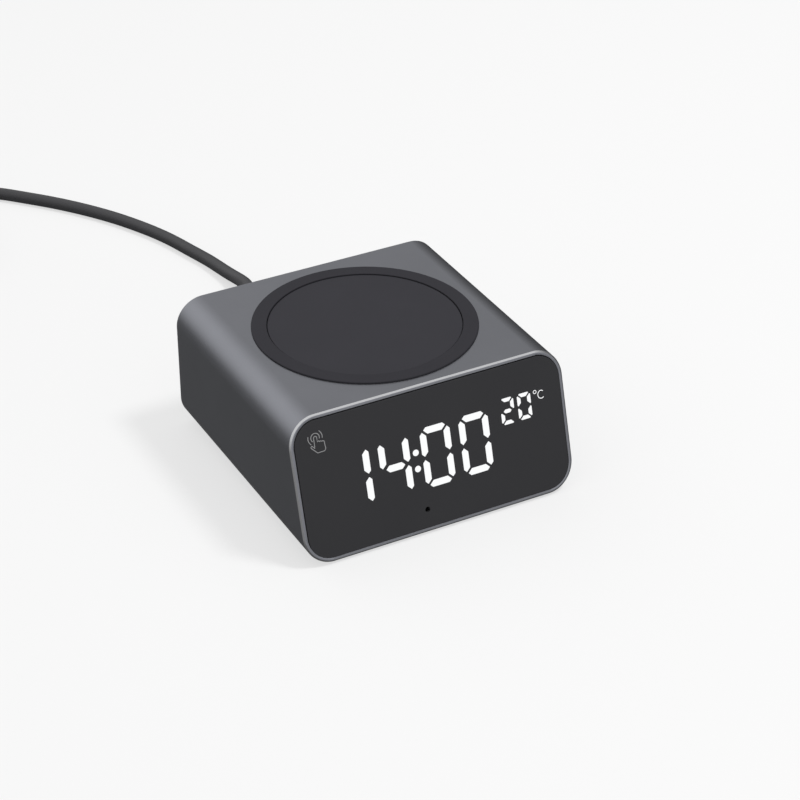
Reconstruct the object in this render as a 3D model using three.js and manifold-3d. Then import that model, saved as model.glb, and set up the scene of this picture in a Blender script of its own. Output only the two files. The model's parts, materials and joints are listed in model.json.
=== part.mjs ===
// Bedside alarm clock with a magnetic wireless charging pad in its roof.
// Units are millimetres and +Z is up. The display faces -Y and the rear panel faces +Y.
// The origin is on the table, under the middle of the clock.

import * as THREE from "three";
import { mergeVertices } from "three/addons/utils/BufferGeometryUtils.js";
import Module from "manifold-3d";

const wasm = await Module();
wasm.setup();

// ---------------------------------------------------------------- driving dimensions

const WIDTH = 86; // body, side to side
const DEPTH = 85.5; // body, front rim's foremost edge to rear rim
const BODY_HEIGHT = 41.3;
const LEAN = THREE.MathUtils.degToRad(16.07); // how far the front leans back
const CORNER = 8.5; // radius of the body's four long edges
const WALL = 2.4; // aluminium sleeve
const CHAMFER = 0.45; // bright cut edge at both ends of the sleeve
const RIM = 0.75; // flat of the front rim, inside its chamfer

const GAP = 0.3; // between pieces that are stacked or fitted in turned groups
const PLAY = 0.15; // running clearance of what slides or drops in

const FOOT_THICK = 1.2; // base pad
const FOOT_SUNK = 0.4; // how much of it sits in the body's recess
const FOOT_MARGIN = 10; // from the body's sides to the base pad
const FOOT_CORNER = 6;

const LENS_THICK = 1.2;
const LENS_PROUD = 0.25; // how far its face stands before the rim
const LENS_GAP = 0.2; // dark line round the lens
const GASKET_THICK = 0.5;
const GASKET_WIDTH = 3;
const DIFFUSER_THICK = 0.3;
const GUIDE_THICK = 5; // block with a light well for each segment
const DISPLAY_BOARD_THICK = 1.2;
const DISPLAY_MARGIN = 1.1; // from the sleeve's inner sides to the light guide and its board
const DISPLAY_DROP = 1.2; // from the charging tray down to the display board

const DIGIT_WIDTH = 9.8;
const DIGIT_HEIGHT = 17.8;
const DIGIT_STROKE = 2.3;
const DIGIT_PLACES = [-24.8, -12.6, 0.6, 13.1];
const SMALL_WIDTH = 4.4;
const SMALL_HEIGHT = 7.9;
const SMALL_STROKE = 1.2;
const SMALL_RISE = 6.7; // their middle above the big digits'
const SMALL_PLACES = [24.4, 29.8];
const COLON_PLACE = -5.9;
const COLON_RADIUS = 0.95;
const COLON_SPREAD = 4.8; // between the two dots
const SENSOR_PLACE = [-4.75, 6.8];
const SENSOR_HOLE = 0.8; // radius of the lens's pinhole
const SENSOR_RADIUS = 1.6;
const TOUCH_INSET = [8, 9.6]; // from the face's left and upper edges
const TOUCH_RADIUS = 2.4;

const PAD_RADIUS = 32.7; // outside of the raised ring
const PAD_MARGIN = 4.75; // from the ring to the body's rear edge
const PAD_RING = 4.65; // width of the ring, with the play round the disc
const PAD_LIP = 1.5; // how far the ring covers the roof beyond its hole
const PAD_RISE = 0.5; // ring above the roof
const DISC_THICK = 1;
const DISC_DROP = 0.3; // disc below the ring
const TRAY_WALL = 3;
const TRAY_FLANGE = 2.2; // beyond the roof's hole, inside
const TRAY_FLANGE_THICK = 1.2;
const TRAY_FLOOR = 1;
const MAGNET_THICK = 2.6;
const MAGNET_WIDTH = 4.55;
const COIL_INNER = 10.5;
const COIL_MARGIN = 1.2; // from the magnets' shelf to the coil
const COIL_THICK = 2;
const FERRITE_THICK = 0.8;
const CHARGER_BOARD_THICK = 1.2;
const CHARGER_POST_INSET = 4.65; // from the tray's edge to a post
const CHARGER_POST_TURN = THREE.MathUtils.degToRad(37.3); // a post's direction from the X axis
const POST_EDGE = 4; // from a post to its board's edges

const CARRIER_WALL = 1.6;
const CARRIER_DROP = 2.5; // from the charging tray down to the side walls' upper edge
const BALLAST_MARGIN = 2.5; // from the posts to the ballast plate
const BALLAST_DEPTH = 46;
const BALLAST_THICK = 3;
const BOARD_MARGIN = 5.6; // from the sleeve's inner sides to the main board
const BOARD_FRONT_Y = -14;
const BOARD_THICK = 1.2;
const BOARD_LIFT = 4.2; // its underside above the carrier's floor
const RIBBON_UP = 20; // where the flat cable leaves the display board, up the face
const POST_RADIUS = 2.5;
const SCREW_RADIUS = 0.9;
const SCREW_HEAD = 1.9;

const COVER_THICK = 2.2;
const COVER_SUNK = 1; // rear panel inside the sleeve's rear rim
const BUTTON_PLACES = { set: 28, alarm: 16, up: -16, down: -28 };
const BUTTON_RADIUS = 2.8;
const BUTTON_PROUD = 0.6;
const BUTTON_FLANGE = 0.9;
const BUTTON_TRAVEL = 0.5;
const TACT = [6, 4.5, 5]; // switch body: width, depth, height
const PLUNGER_RADIUS = 1.5;
const SWITCH_X = 22;
const CONTROL_RISE = 4.55; // slide switch and buzzer above the body's middle
const SWITCH_TRAVEL = 3;
const KNOB = [3, 2]; // width, height
const BUZZER_X = -22;
const BUZZER_RADIUS = 6;
const COVER_SCREW_INSET = [9, 10.1]; // from the body's sides and roof

const SOCKET = [8.94, 7.35, 3.26]; // USB-C receptacle: width, depth, height
const SOCKET_SHEET = 0.3;
const PLUG_SHELL = [8.2, 6.3, 2.36];
const PLUG_GRIP = [10.8, 20, 6.4];
const RELIEF_LENGTH = 13;
const CORD_RADIUS = 2.1;

// The lead's route where it isn't coiled: centre line from the strain relief to the coil.
// Up to the seventh point it comes down from the socket's height to the table.
const RUN_POINTS = [
  [0, 75.3, 11.9],
  [0.4, 81, 11.6],
  [1.9, 89, 10.1],
  [4.3, 97.5, 7.3],
  [5.9, 106, 4.4],
  [5.5, 115, 2.8],
  [3.9, 126, 2.2],
  [1.3, 135.7, 2.15],
  [-1.8, 146.5, 2.15],
  [-5.9, 156.8, 2.15],
  [-11.9, 168.6, 2.15],
  [-18.7, 179.2, 2.15],
  [-26, 188.8, 2.15],
  [-33.8, 197.6, 2.15],
  [-41.6, 205.6, 2.15],
  [-50, 211, 2.15],
  [-59.5, 213.2, 2.15],
  [-72.5, 213.2, 2.15],
];
// From the coil's upper outer turn down to the USB-A plug beside it.
const TAIL_POINTS = [
  [-119.2, 167, 6.3],
  [-118.9, 161, 6.1],
  [-117.5, 154.5, 5.4],
  [-115.2, 148.5, 4.6],
  [-113.4, 143, 4.1],
  [-113, 138.3, 4],
];
const COIL_CENTRE = [-90, 184];
const COIL_RADIUS = 23; // middle of the turns
const COIL_SECTION = [17.4, 9.4]; // turns side by side, turns on each other with the tie under them
const TIE = [5, 1]; // width along the lead, thickness
const A_PLUG_X = -113;
const A_RELIEF_LENGTH = 12;
const A_GRIP = [15.6, 25, 8];
const A_SHELL = [12, 12, 4.5];

// ---------------------------------------------------------------- derived places

const BASE_Z = FOOT_THICK - FOOT_SUNK;
const ROOF_Z = BASE_Z + BODY_HEIGHT;
const FLOOR_Z = BASE_Z + WALL;
const CEILING_Z = ROOF_Z - WALL;
const MIDDLE_Z = (BASE_Z + ROOF_Z) / 2;
const REAR_Y = DEPTH / 2;
const SLOPE = Math.tan(LEAN);
const FACE_HEIGHT = BODY_HEIGHT / Math.cos(LEAN); // up the leaning front
const INNER_WIDTH = WIDTH - 2 * WALL;
const INNER_HEIGHT = BODY_HEIGHT - 2 * WALL;
const INNER_CORNER = CORNER - WALL;

const LENS_INSET = CHAMFER + RIM + LENS_GAP;
const GASKET_DEPTH = LENS_THICK - LENS_PROUD + GAP;
const GUIDE_DEPTH = GASKET_DEPTH + GASKET_THICK + GAP; // also the depth of the lens's seat
const DISPLAY_BOARD_DEPTH = GUIDE_DEPTH + GUIDE_THICK + GAP;
const CARRIER_DEPTH = DISPLAY_BOARD_DEPTH + DISPLAY_BOARD_THICK + GAP;

const HOLE_RADIUS = PAD_RADIUS - PAD_LIP;
const TRAY_RADIUS = HOLE_RADIUS - PLAY;
const DISC_RADIUS = PAD_RADIUS - PAD_RING;
const PAD_Y = REAR_Y - PAD_MARGIN - PAD_RADIUS;
const DISC_TOP = ROOF_Z + PAD_RISE - DISC_DROP;
const SEAT_Z = DISC_TOP - DISC_THICK; // what the ring and the disc rest on
const MAGNET_SEAT_Z = SEAT_Z - MAGNET_THICK;
const TRAY_FLOOR_Z = MAGNET_SEAT_Z - 1.2;
const TRAY_BOTTOM_Z = TRAY_FLOOR_Z - TRAY_FLOOR;
const CHARGER_BOARD_Z = TRAY_BOTTOM_Z - 2.3 - CHARGER_BOARD_THICK;
const MAGNET_OUTER = TRAY_RADIUS - TRAY_WALL - PLAY;
const MAGNET_INNER = MAGNET_OUTER - MAGNET_WIDTH;
const SHELF_INNER = MAGNET_INNER - PLAY; // the magnets' shelf round the tray's well
const COIL_OUTER = SHELF_INNER - COIL_MARGIN;

// How far up the face a point at height z lies, this deep behind the face.
const upFace = (z, depth) => (z - BASE_Z + depth * Math.sin(LEAN)) / Math.cos(LEAN);
const DISPLAY_BACK = DISPLAY_BOARD_DEPTH + DISPLAY_BOARD_THICK;
const GUIDE_LOW = upFace(FLOOR_Z + GAP, DISPLAY_BACK);
const GUIDE_HIGH = upFace(TRAY_BOTTOM_Z - DISPLAY_DROP, DISPLAY_BACK);
const DIGIT_MID = FACE_HEIGHT / 2; // the digits' middle bars, up the face
const SMALL_MID = DIGIT_MID + SMALL_RISE;
const TOUCH_PLACE = [TOUCH_INSET[0] - WIDTH / 2, FACE_HEIGHT - TOUCH_INSET[1]];

const CARRIER_FLOOR_Z = FLOOR_Z + CARRIER_WALL;
const BOARD_Z = CARRIER_FLOOR_Z + BOARD_LIFT;
const BOARD_TOP = BOARD_Z + BOARD_THICK;
const BOARD_WIDTH = INNER_WIDTH - 2 * BOARD_MARGIN;
const CARRIER_TOP = TRAY_BOTTOM_Z - CARRIER_DROP;
const COVER_Y = REAR_Y - COVER_SUNK; // outer face of the rear panel
const FLANGE_START = COVER_THICK + PLAY + 0.1; // the buttons' inner flanges, in from the panel's face
const BOARD_REAR_Y = COVER_Y - FLANGE_START - BUTTON_FLANGE - BUTTON_TRAVEL - GAP;
const BUTTON_Z = BOARD_TOP + TACT[2] / 2;
const SOCKET_Z = BOARD_TOP + SOCKET[2] / 2 + 0.05;
const SWITCH_PLACE = [SWITCH_X, MIDDLE_Z + CONTROL_RISE];
const BUZZER_PLACE = [BUZZER_X, MIDDLE_Z + CONTROL_RISE];
const COVER_SCREW_PLACES = [-1, 1].map((side) => side * (WIDTH / 2 - COVER_SCREW_INSET[0]));
const COVER_SCREW_Z = ROOF_Z - COVER_SCREW_INSET[1];

const frontY = (z) => -DEPTH / 2 + SLOPE * (z - BASE_Z - CHAMFER);

// ---------------------------------------------------------------- materials

const finish = (color, roughness, metalness = 0) =>
  new THREE.MeshStandardMaterial({ color, roughness, metalness });

const ALUMINIUM = finish(0x77787d, 0.38, 0.9);
const SMOKED = finish(0x363638, 0.3);
const RING_SILICONE = finish(0x3d3d41, 0.75);
const DISC_SILICONE = finish(0x404044, 0.7);
const BLACK_PLASTIC = finish(0x232326, 0.5);
const GREY_PLASTIC = finish(0x55575b, 0.5);
const WHITE_PLASTIC = finish(0xe6e6e2, 0.45);
const FILM = finish(0xd8d8d4, 0.6);
const FOAM = finish(0x1b1b1d, 0.9);
const RUBBER = finish(0x2a2a2c, 0.85);
const CIRCUIT = finish(0x1f4a35, 0.5);
const CHIP = finish(0x18181a, 0.4);
const STEEL = finish(0xb5b7ba, 0.3, 1);
const COPPER = finish(0xb06a3c, 0.35, 0.9);
const FERRITE = finish(0x3a3b3d, 0.7);
const NICKEL = finish(0xc4c4c0, 0.25, 1);
const JACKET = finish(0x434346, 0.6);

// ---------------------------------------------------------------- shape helpers

const ARC_SEGMENTS = 3; // an arc of a quarter turn gets twice as many
const FINE_ARC_SEGMENTS = 2; // the same for small corners
const ROUND_SEGMENTS = 36;
const SMALL_SEGMENTS = 12;
const MERGE = 1e-5;

function toSolid(geometry) {
  const bare = geometry.clone();
  bare.deleteAttribute("normal");
  bare.deleteAttribute("uv");
  const merged = mergeVertices(bare, MERGE);
  return new wasm.Manifold(
    new wasm.Mesh({
      numProp: 3,
      vertProperties: merged.attributes.position.array,
      triVerts: new Uint32Array(merged.index.array),
    }),
  );
}

function toGeometry(solid) {
  const mesh = solid.getMesh();
  const shared = new THREE.BufferGeometry();
  shared.setAttribute("position", new THREE.BufferAttribute(mesh.vertProperties, 3));
  shared.setIndex(new THREE.BufferAttribute(mesh.triVerts, 1));
  const faceted = shared.toNonIndexed();
  faceted.computeVertexNormals();
  return faceted;
}

const join = (first, ...others) =>
  toGeometry(others.reduce((sum, other) => sum.add(toSolid(other)), toSolid(first)));

const cut = (first, ...tools) =>
  toGeometry(tools.reduce((rest, tool) => rest.subtract(toSolid(tool)), toSolid(first)));

function roundedRect(width, height, radius, Kind = THREE.Shape) {
  const x = width / 2 - radius;
  const y = height / 2 - radius;
  const outline = new Kind();
  outline.absarc(x, -y, radius, -Math.PI / 2, 0);
  outline.absarc(x, y, radius, 0, Math.PI / 2);
  outline.absarc(-x, y, radius, Math.PI / 2, Math.PI);
  outline.absarc(-x, -y, radius, Math.PI, (3 * Math.PI) / 2);
  outline.closePath();
  return outline;
}

// A plate with its outline in XY and its thickness along Z, from z up.
function plate(outline, thickness, z = 0, segments = ARC_SEGMENTS) {
  const options = { depth: thickness, bevelEnabled: false, curveSegments: segments };
  return new THREE.ExtrudeGeometry(outline, options).translate(0, 0, z);
}

// A box centred on x and y, standing on z.
const block = (width, depth, height, x = 0, y = 0, z = 0) =>
  new THREE.BoxGeometry(width, depth, height).translate(x, y, z + height / 2);

// A cylinder along Z, centred on x and y, standing on z.
const rod = (radius, height, x = 0, y = 0, z = 0, segments = SMALL_SEGMENTS) =>
  new THREE.CylinderGeometry(radius, radius, height, segments)
    .rotateX(Math.PI / 2)
    .translate(x, y, z + height / 2);

// A solid of revolution about Z from [radius, z] points, listed counterclockwise.
function turned(profile, segments = ROUND_SEGMENTS) {
  const points = profile.map(([radius, z]) => new THREE.Vector2(radius, z));
  if (profile[0][0] > 0) points.push(points[0].clone());
  return new THREE.LatheGeometry(points, segments).rotateX(Math.PI / 2);
}

const washer = (inner, outer, low, high, segments) =>
  turned(
    [
      [inner, low],
      [outer, low],
      [outer, high],
      [inner, high],
    ],
    segments,
  );

// A solid cone or rod along Z, from [radius, z] points listed upwards.
const spindle = (profile, segments = SMALL_SEGMENTS) =>
  turned([[0, profile[0][1]], ...profile, [0, profile.at(-1)[1]]], segments);

// A six-sided display bar along X, with pointed ends.
function barOutline(length, stroke) {
  const tip = length / 2;
  const shoulder = tip - stroke / 2;
  return new THREE.Shape([
    new THREE.Vector2(-tip, 0),
    new THREE.Vector2(-shoulder, -stroke / 2),
    new THREE.Vector2(shoulder, -stroke / 2),
    new THREE.Vector2(tip, 0),
    new THREE.Vector2(shoulder, stroke / 2),
    new THREE.Vector2(-shoulder, stroke / 2),
  ]);
}

// The seven bars of a digit: [x, y, turn, length] from the digit's centre.
function digitBars(width, height, stroke) {
  const across = width - stroke;
  const half = (height - stroke) / 2;
  const slack = stroke * 0.22; // dark line between neighbouring bars
  const bars = [-half, 0, half].map((y) => [0, y, 0, across - slack]);
  for (const x of [-across / 2, across / 2]) {
    for (const y of [-half / 2, half / 2]) {
      bars.push([x, y, Math.PI / 2, half - slack]);
    }
  }
  return bars;
}

// ---------------------------------------------------------------- scene graph

const clock = new THREE.Group();

// Lies in the front face: x across, y up the face from the body's lower edge, z outwards.
const front = new THREE.Group();
front.position.set(0, frontY(BASE_Z), BASE_Z);
front.rotation.x = Math.PI / 2 - LEAN;
front.updateMatrix();

// Lies in the rear panel's outer face: x across, y up from the table, z into the clock.
const rear = new THREE.Group();
rear.position.y = COVER_Y;
rear.rotation.x = Math.PI / 2;

const charger = new THREE.Group();
charger.position.y = PAD_Y;

const lead = new THREE.Group();
clock.add(front, rear, charger, lead);

function piece(parent, name, geometry, material, x = 0, y = 0, z = 0) {
  const mesh = new THREE.Mesh(geometry, material);
  mesh.name = name;
  mesh.position.set(x, y, z);
  parent.add(mesh);
  return mesh;
}

// ---------------------------------------------------------------- sleeve and base pad

// The sleeve's outer form: chamfered at both ends, its front end sheared to the lean.
function bodyForm() {
  const span = 1;
  const form = new THREE.ExtrudeGeometry(roundedRect(WIDTH, BODY_HEIGHT, CORNER), {
    depth: span,
    bevelThickness: CHAMFER,
    bevelSize: CHAMFER,
    bevelOffset: -CHAMFER,
    bevelSegments: 1,
    curveSegments: ARC_SEGMENTS,
  })
    .rotateX(Math.PI / 2)
    .translate(0, 0, MIDDLE_Z);
  const place = form.attributes.position;
  for (let i = 0; i < place.count; i += 1) {
    const y = place.getY(i);
    const atRear = y > -span / 2;
    const front = frontY(place.getZ(i)) + span + CHAMFER;
    place.setY(i, y + (atRear ? REAR_Y - CHAMFER : front));
  }
  return form;
}

const footWidth = WIDTH - 2 * FOOT_MARGIN;
const footDepth = DEPTH - 2 * FOOT_MARGIN;

const lensSeat = (grow, thickness, z) =>
  plate(
    roundedRect(
      WIDTH - 2 * (LENS_INSET - grow),
      FACE_HEIGHT - 2 * (LENS_INSET - grow),
      CORNER - LENS_INSET + grow,
    ),
    thickness,
    z,
  ).translate(0, FACE_HEIGHT / 2, 0);

function housing() {
  const bore = plate(roundedRect(INNER_WIDTH, INNER_HEIGHT, INNER_CORNER), 2 * DEPTH)
    .rotateX(Math.PI / 2)
    .translate(0, DEPTH, MIDDLE_Z);
  const seat = lensSeat(LENS_GAP, 2 * GUIDE_DEPTH, -GUIDE_DEPTH).applyMatrix4(front.matrix);
  const hole = rod(HOLE_RADIUS, 2 * WALL, 0, PAD_Y, CEILING_Z - WALL / 2, ROUND_SEGMENTS);
  const recess = plate(
    roundedRect(footWidth + 2 * PLAY, footDepth + 2 * PLAY, FOOT_CORNER + PLAY),
    2 * FOOT_SUNK,
    BASE_Z - FOOT_SUNK,
  );
  return cut(bodyForm(), bore, seat, hole, recess);
}

piece(clock, "housing", housing(), ALUMINIUM);
piece(clock, "base_pad", plate(roundedRect(footWidth, footDepth, FOOT_CORNER), FOOT_THICK), RUBBER);

// ---------------------------------------------------------------- display, from the lens inwards

const displayWidth = INNER_WIDTH - 2 * DISPLAY_MARGIN;
const displayCorner = INNER_CORNER - DISPLAY_MARGIN;
const displayHeight = GUIDE_HIGH - GUIDE_LOW;
const displayMid = (GUIDE_HIGH + GUIDE_LOW) / 2;

const displayPlate = (thickness, depth) =>
  plate(
    roundedRect(displayWidth, displayHeight, displayCorner),
    thickness,
    -depth - thickness,
  ).translate(0, displayMid, 0);

function allBars() {
  const digits = DIGIT_PLACES.map((x) => [x, DIGIT_MID, DIGIT_WIDTH, DIGIT_HEIGHT, DIGIT_STROKE]);
  const small = SMALL_PLACES.map((x) => [x, SMALL_MID, SMALL_WIDTH, SMALL_HEIGHT, SMALL_STROKE]);
  return [...digits, ...small].flatMap(([x, y, width, height, stroke]) =>
    digitBars(width, height, stroke).map(([barX, barY, turn, length]) => ({
      x: x + barX,
      y: y + barY,
      turn,
      length,
      stroke,
    })),
  );
}

const colonDots = [-1, 1].map((side) => [COLON_PLACE, DIGIT_MID + (side * COLON_SPREAD) / 2]);

function lens() {
  const [x, y] = SENSOR_PLACE;
  const pinhole = rod(SENSOR_HOLE, 3 * LENS_THICK, x, y, -2 * LENS_THICK, 12);
  return cut(lensSeat(0, LENS_THICK, LENS_PROUD - LENS_THICK), pinhole);
}

function gasket() {
  const inset = GASKET_WIDTH + GAP;
  const opening = lensSeat(-inset, 2 * GASKET_DEPTH, -2 * GASKET_DEPTH);
  return cut(lensSeat(-GAP, GASKET_THICK, -GASKET_DEPTH - GASKET_THICK), opening);
}

function diffuser() {
  const film = lensSeat(
    -GASKET_WIDTH - 2 * GAP,
    DIFFUSER_THICK,
    -GASKET_DEPTH - DIFFUSER_THICK,
  );
  const eye = rod(SENSOR_RADIUS, 4 * GASKET_DEPTH, ...SENSOR_PLACE, -3 * GASKET_DEPTH, 12);
  return cut(film, eye);
}

function lightGuide() {
  const low = -GUIDE_DEPTH - 2 * GUIDE_THICK;
  const deep = 3 * GUIDE_THICK;
  const wells = allBars().map(({ x, y, turn, length, stroke }) =>
    plate(barOutline(length, stroke), deep, low).rotateZ(turn).translate(x, y, 0),
  );
  const dots = colonDots.map(([x, y]) => rod(COLON_RADIUS, deep, x, y, low, 8));
  const touch = rod(TOUCH_RADIUS + GAP, deep, ...TOUCH_PLACE, low);
  const sensor = rod(SENSOR_RADIUS + GAP, deep, ...SENSOR_PLACE, low);
  return cut(displayPlate(GUIDE_THICK, GUIDE_DEPTH), ...wells, ...dots, touch, sensor);
}

// The board carries one light-emitting chip under each bar and each colon dot.
function displayBoard() {
  const chip = [0.7, 0.7, 0.6];
  const sunk = 0.2;
  const places = [...allBars().map(({ x, y }) => [x, y]), ...colonDots];
  const chips = places.map(([x, y]) => block(...chip, x, y, -DISPLAY_BOARD_DEPTH - sunk));
  return join(displayPlate(DISPLAY_BOARD_THICK, DISPLAY_BOARD_DEPTH), ...chips);
}

const electrode = spindle([
  [1.1, -DISPLAY_BOARD_DEPTH + GAP],
  [1.1, -GUIDE_DEPTH - 1.4],
  [TOUCH_RADIUS, -GUIDE_DEPTH - 0.8],
  [TOUCH_RADIUS, -GUIDE_DEPTH],
]);
const sensorTube = spindle([
  [SENSOR_RADIUS, -DISPLAY_BOARD_DEPTH + GAP],
  [SENSOR_RADIUS, -GUIDE_DEPTH],
]);

piece(front, "lens", lens(), SMOKED);
piece(front, "lens_gasket", gasket(), FOAM);
piece(front, "diffuser", diffuser(), FILM);
piece(front, "light_guide", lightGuide(), WHITE_PLASTIC);
piece(front, "display_board", displayBoard(), CIRCUIT);
piece(front, "touch_electrode", electrode, COPPER, ...TOUCH_PLACE);
piece(front, "light_sensor", sensorTube, CHIP, ...SENSOR_PLACE);

// ---------------------------------------------------------------- carrier, ballast and main board

const postX = BOARD_WIDTH / 2 - POST_EDGE;
const postPlaces = [-1, 1].flatMap((side) => [
  [side * postX, BOARD_FRONT_Y + 6],
  [side * postX, BOARD_REAR_Y - 12],
]);
const coverInnerY = COVER_Y - COVER_THICK;
const BOSS_LENGTH = 10;
const BOSS_RADIUS = 3.4;

function carrier() {
  const width = INNER_WIDTH - 4 * PLAY;
  const height = INNER_HEIGHT - 4 * PLAY;
  const outline = roundedRect(width, height, INNER_CORNER - 2 * PLAY);
  const inside = INNER_CORNER - 2 * PLAY - CARRIER_WALL;
  outline.holes.push(
    roundedRect(width - 2 * CARRIER_WALL, height - 2 * CARRIER_WALL, inside, THREE.Path),
  );
  const channel = plate(outline, 2 * DEPTH)
    .rotateX(Math.PI / 2)
    .translate(0, coverInnerY, FLOOR_Z + height / 2);
  const open = block(2 * WIDTH, 5 * DEPTH, BODY_HEIGHT, 0, 0, CARRIER_TOP);
  const ahead = block(2 * WIDTH, 4 * BODY_HEIGHT, 4 * DEPTH, 0, 0, -CARRIER_DEPTH).applyMatrix4(
    front.matrix,
  );
  const posts = postPlaces.map(([x, y]) =>
    rod(POST_RADIUS, BOARD_Z - CARRIER_FLOOR_Z + CARRIER_WALL / 2, x, y, FLOOR_Z + CARRIER_WALL / 2),
  );
  const bosses = COVER_SCREW_PLACES.flatMap((x) => [
    rod(BOSS_RADIUS, BOSS_LENGTH).rotateX(Math.PI / 2).translate(x, coverInnerY, COVER_SCREW_Z),
    block(width / 2 - Math.abs(x), BOSS_LENGTH, CARRIER_WALL).translate(
      (Math.sign(x) * (width / 2 + Math.abs(x) - CARRIER_WALL)) / 2,
      coverInnerY - BOSS_LENGTH / 2,
      COVER_SCREW_Z - CARRIER_WALL / 2,
    ),
  ]);
  const holes = [
    ...postPlaces.map(([x, y]) => rod(SCREW_RADIUS + PLAY, BODY_HEIGHT, x, y, CARRIER_FLOOR_Z)),
    ...COVER_SCREW_PLACES.map((x) =>
      rod(SCREW_RADIUS + 2 * PLAY, BOSS_LENGTH)
        .rotateX(Math.PI / 2)
        .translate(x, coverInnerY + 1, COVER_SCREW_Z),
    ),
  ];
  return cut(join(cut(channel, open, ahead), ...posts, ...bosses), ...holes);
}

const boardDepth = BOARD_REAR_Y - BOARD_FRONT_Y;
const boardMid = (BOARD_REAR_Y + BOARD_FRONT_Y) / 2;

function mainBoard() {
  const board = plate(roundedRect(BOARD_WIDTH, boardDepth, 1.5), BOARD_THICK).translate(
    0,
    boardMid,
    BOARD_Z,
  );
  const holes = postPlaces.map(([x, y]) =>
    rod(SCREW_RADIUS + PLAY, 3 * BOARD_THICK, x, y, BOARD_Z - BOARD_THICK),
  );
  return cut(board, ...holes);
}

// Pan-headed screw pointing down, its head's seat at z = 0.
const screw = (shank, head, length, rise) =>
  spindle([
    [shank, -length],
    [shank, 0],
    [head, 0],
    [head, rise * 0.6],
    [head * 0.6, rise],
  ]);

piece(clock, "carrier", carrier(), BLACK_PLASTIC);
const ballastWidth = 2 * (postX - POST_RADIUS - BALLAST_MARGIN);
const ballastForm = block(ballastWidth, BALLAST_DEPTH, BALLAST_THICK);
piece(clock, "ballast", ballastForm, STEEL, 0, -2, CARRIER_FLOOR_Z);
piece(clock, "main_board", mainBoard(), CIRCUIT);
postPlaces.forEach(([x, y], i) => {
  const form = screw(SCREW_RADIUS, SCREW_HEAD, 4, 1.3);
  piece(clock, `board_screw_${i + 1}`, form, STEEL, x, y, BOARD_TOP);
});

const CELL_RADIUS = 10;
const CELL_THICK = 3.2;
const CELL_PLACE = [17, 6];

function cellHolder() {
  const base = 0.8;
  const cup = rod(CELL_RADIUS + 1.5, base + 2.4, 0, 0, 0, 32);
  const pocket = rod(CELL_RADIUS + PLAY, 4, 0, 0, base, 32);
  const fingerSlot = block(8, 2 * CELL_RADIUS, 4, 0, -CELL_RADIUS, base);
  return cut(cup, pocket, fingerSlot);
}

piece(clock, "cell_holder", cellHolder(), BLACK_PLASTIC, ...CELL_PLACE, BOARD_TOP);
piece(clock, "coin_cell", rod(CELL_RADIUS, CELL_THICK, 0, 0, 0.8, 32), STEEL, ...CELL_PLACE, BOARD_TOP);
piece(clock, "controller_chip", block(9, 9, 1.1), CHIP, -12, 8, BOARD_TOP);
piece(clock, "timing_crystal", block(6.2, 2.4, 2), NICKEL, -24, 8, BOARD_TOP);
const thermistorPlace = [2 - BOARD_WIDTH / 2, BOARD_REAR_Y - 3.6, BOARD_TOP];
piece(clock, "thermistor", block(2.4, 2, 1.4), CHIP, ...thermistorPlace);

// Flat cable from the display board's back to the main board's front edge, sagging between.
function ribbon() {
  const thick = 0.3;
  const [start, leave] = [CARRIER_DEPTH, CARRIER_DEPTH + 2].map((depth) =>
    new THREE.Vector3(0, RIBBON_UP, -depth).applyMatrix4(front.matrix),
  );
  const landing = BOARD_TOP + thick;
  const line = new THREE.CatmullRomCurve3([
    new THREE.Vector3(start.y, start.z),
    new THREE.Vector3(leave.y, leave.z),
    new THREE.Vector3((leave.y + BOARD_FRONT_Y) / 2, (leave.z + landing) / 2 - 0.6),
    new THREE.Vector3(BOARD_FRONT_Y, landing),
    new THREE.Vector3(BOARD_FRONT_Y + 5, landing),
  ]);
  const steps = 14;
  const sides = [-1, 1].map((side) =>
    Array.from({ length: steps + 1 }, (_, i) => {
      const at = line.getPoint(i / steps);
      const along = line.getTangent(i / steps);
      const shift = (side * thick) / 2;
      return new THREE.Vector2(at.x - along.y * shift, at.y + along.x * shift);
    }),
  );
  const outline = new THREE.Shape([...sides[0], ...sides[1].reverse()]);
  return plate(outline, 12).rotateY(Math.PI / 2).rotateX(Math.PI / 2);
}

piece(clock, "ribbon_cable", ribbon(), FILM, -6);

// ---------------------------------------------------------------- rear panel and its controls

const slideSlot = [KNOB[0] + SWITCH_TRAVEL + 2 * GAP, KNOB[1] + 2 * GAP];

// A cutter for a slot in the rear panel, right through it unless its depth is given.
const slot = (width, height, radius, x, y, deep = 2 * COVER_THICK) =>
  plate(roundedRect(width, height, radius), deep + 1, -1, FINE_ARC_SEGMENTS).translate(x, y, 0);

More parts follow.
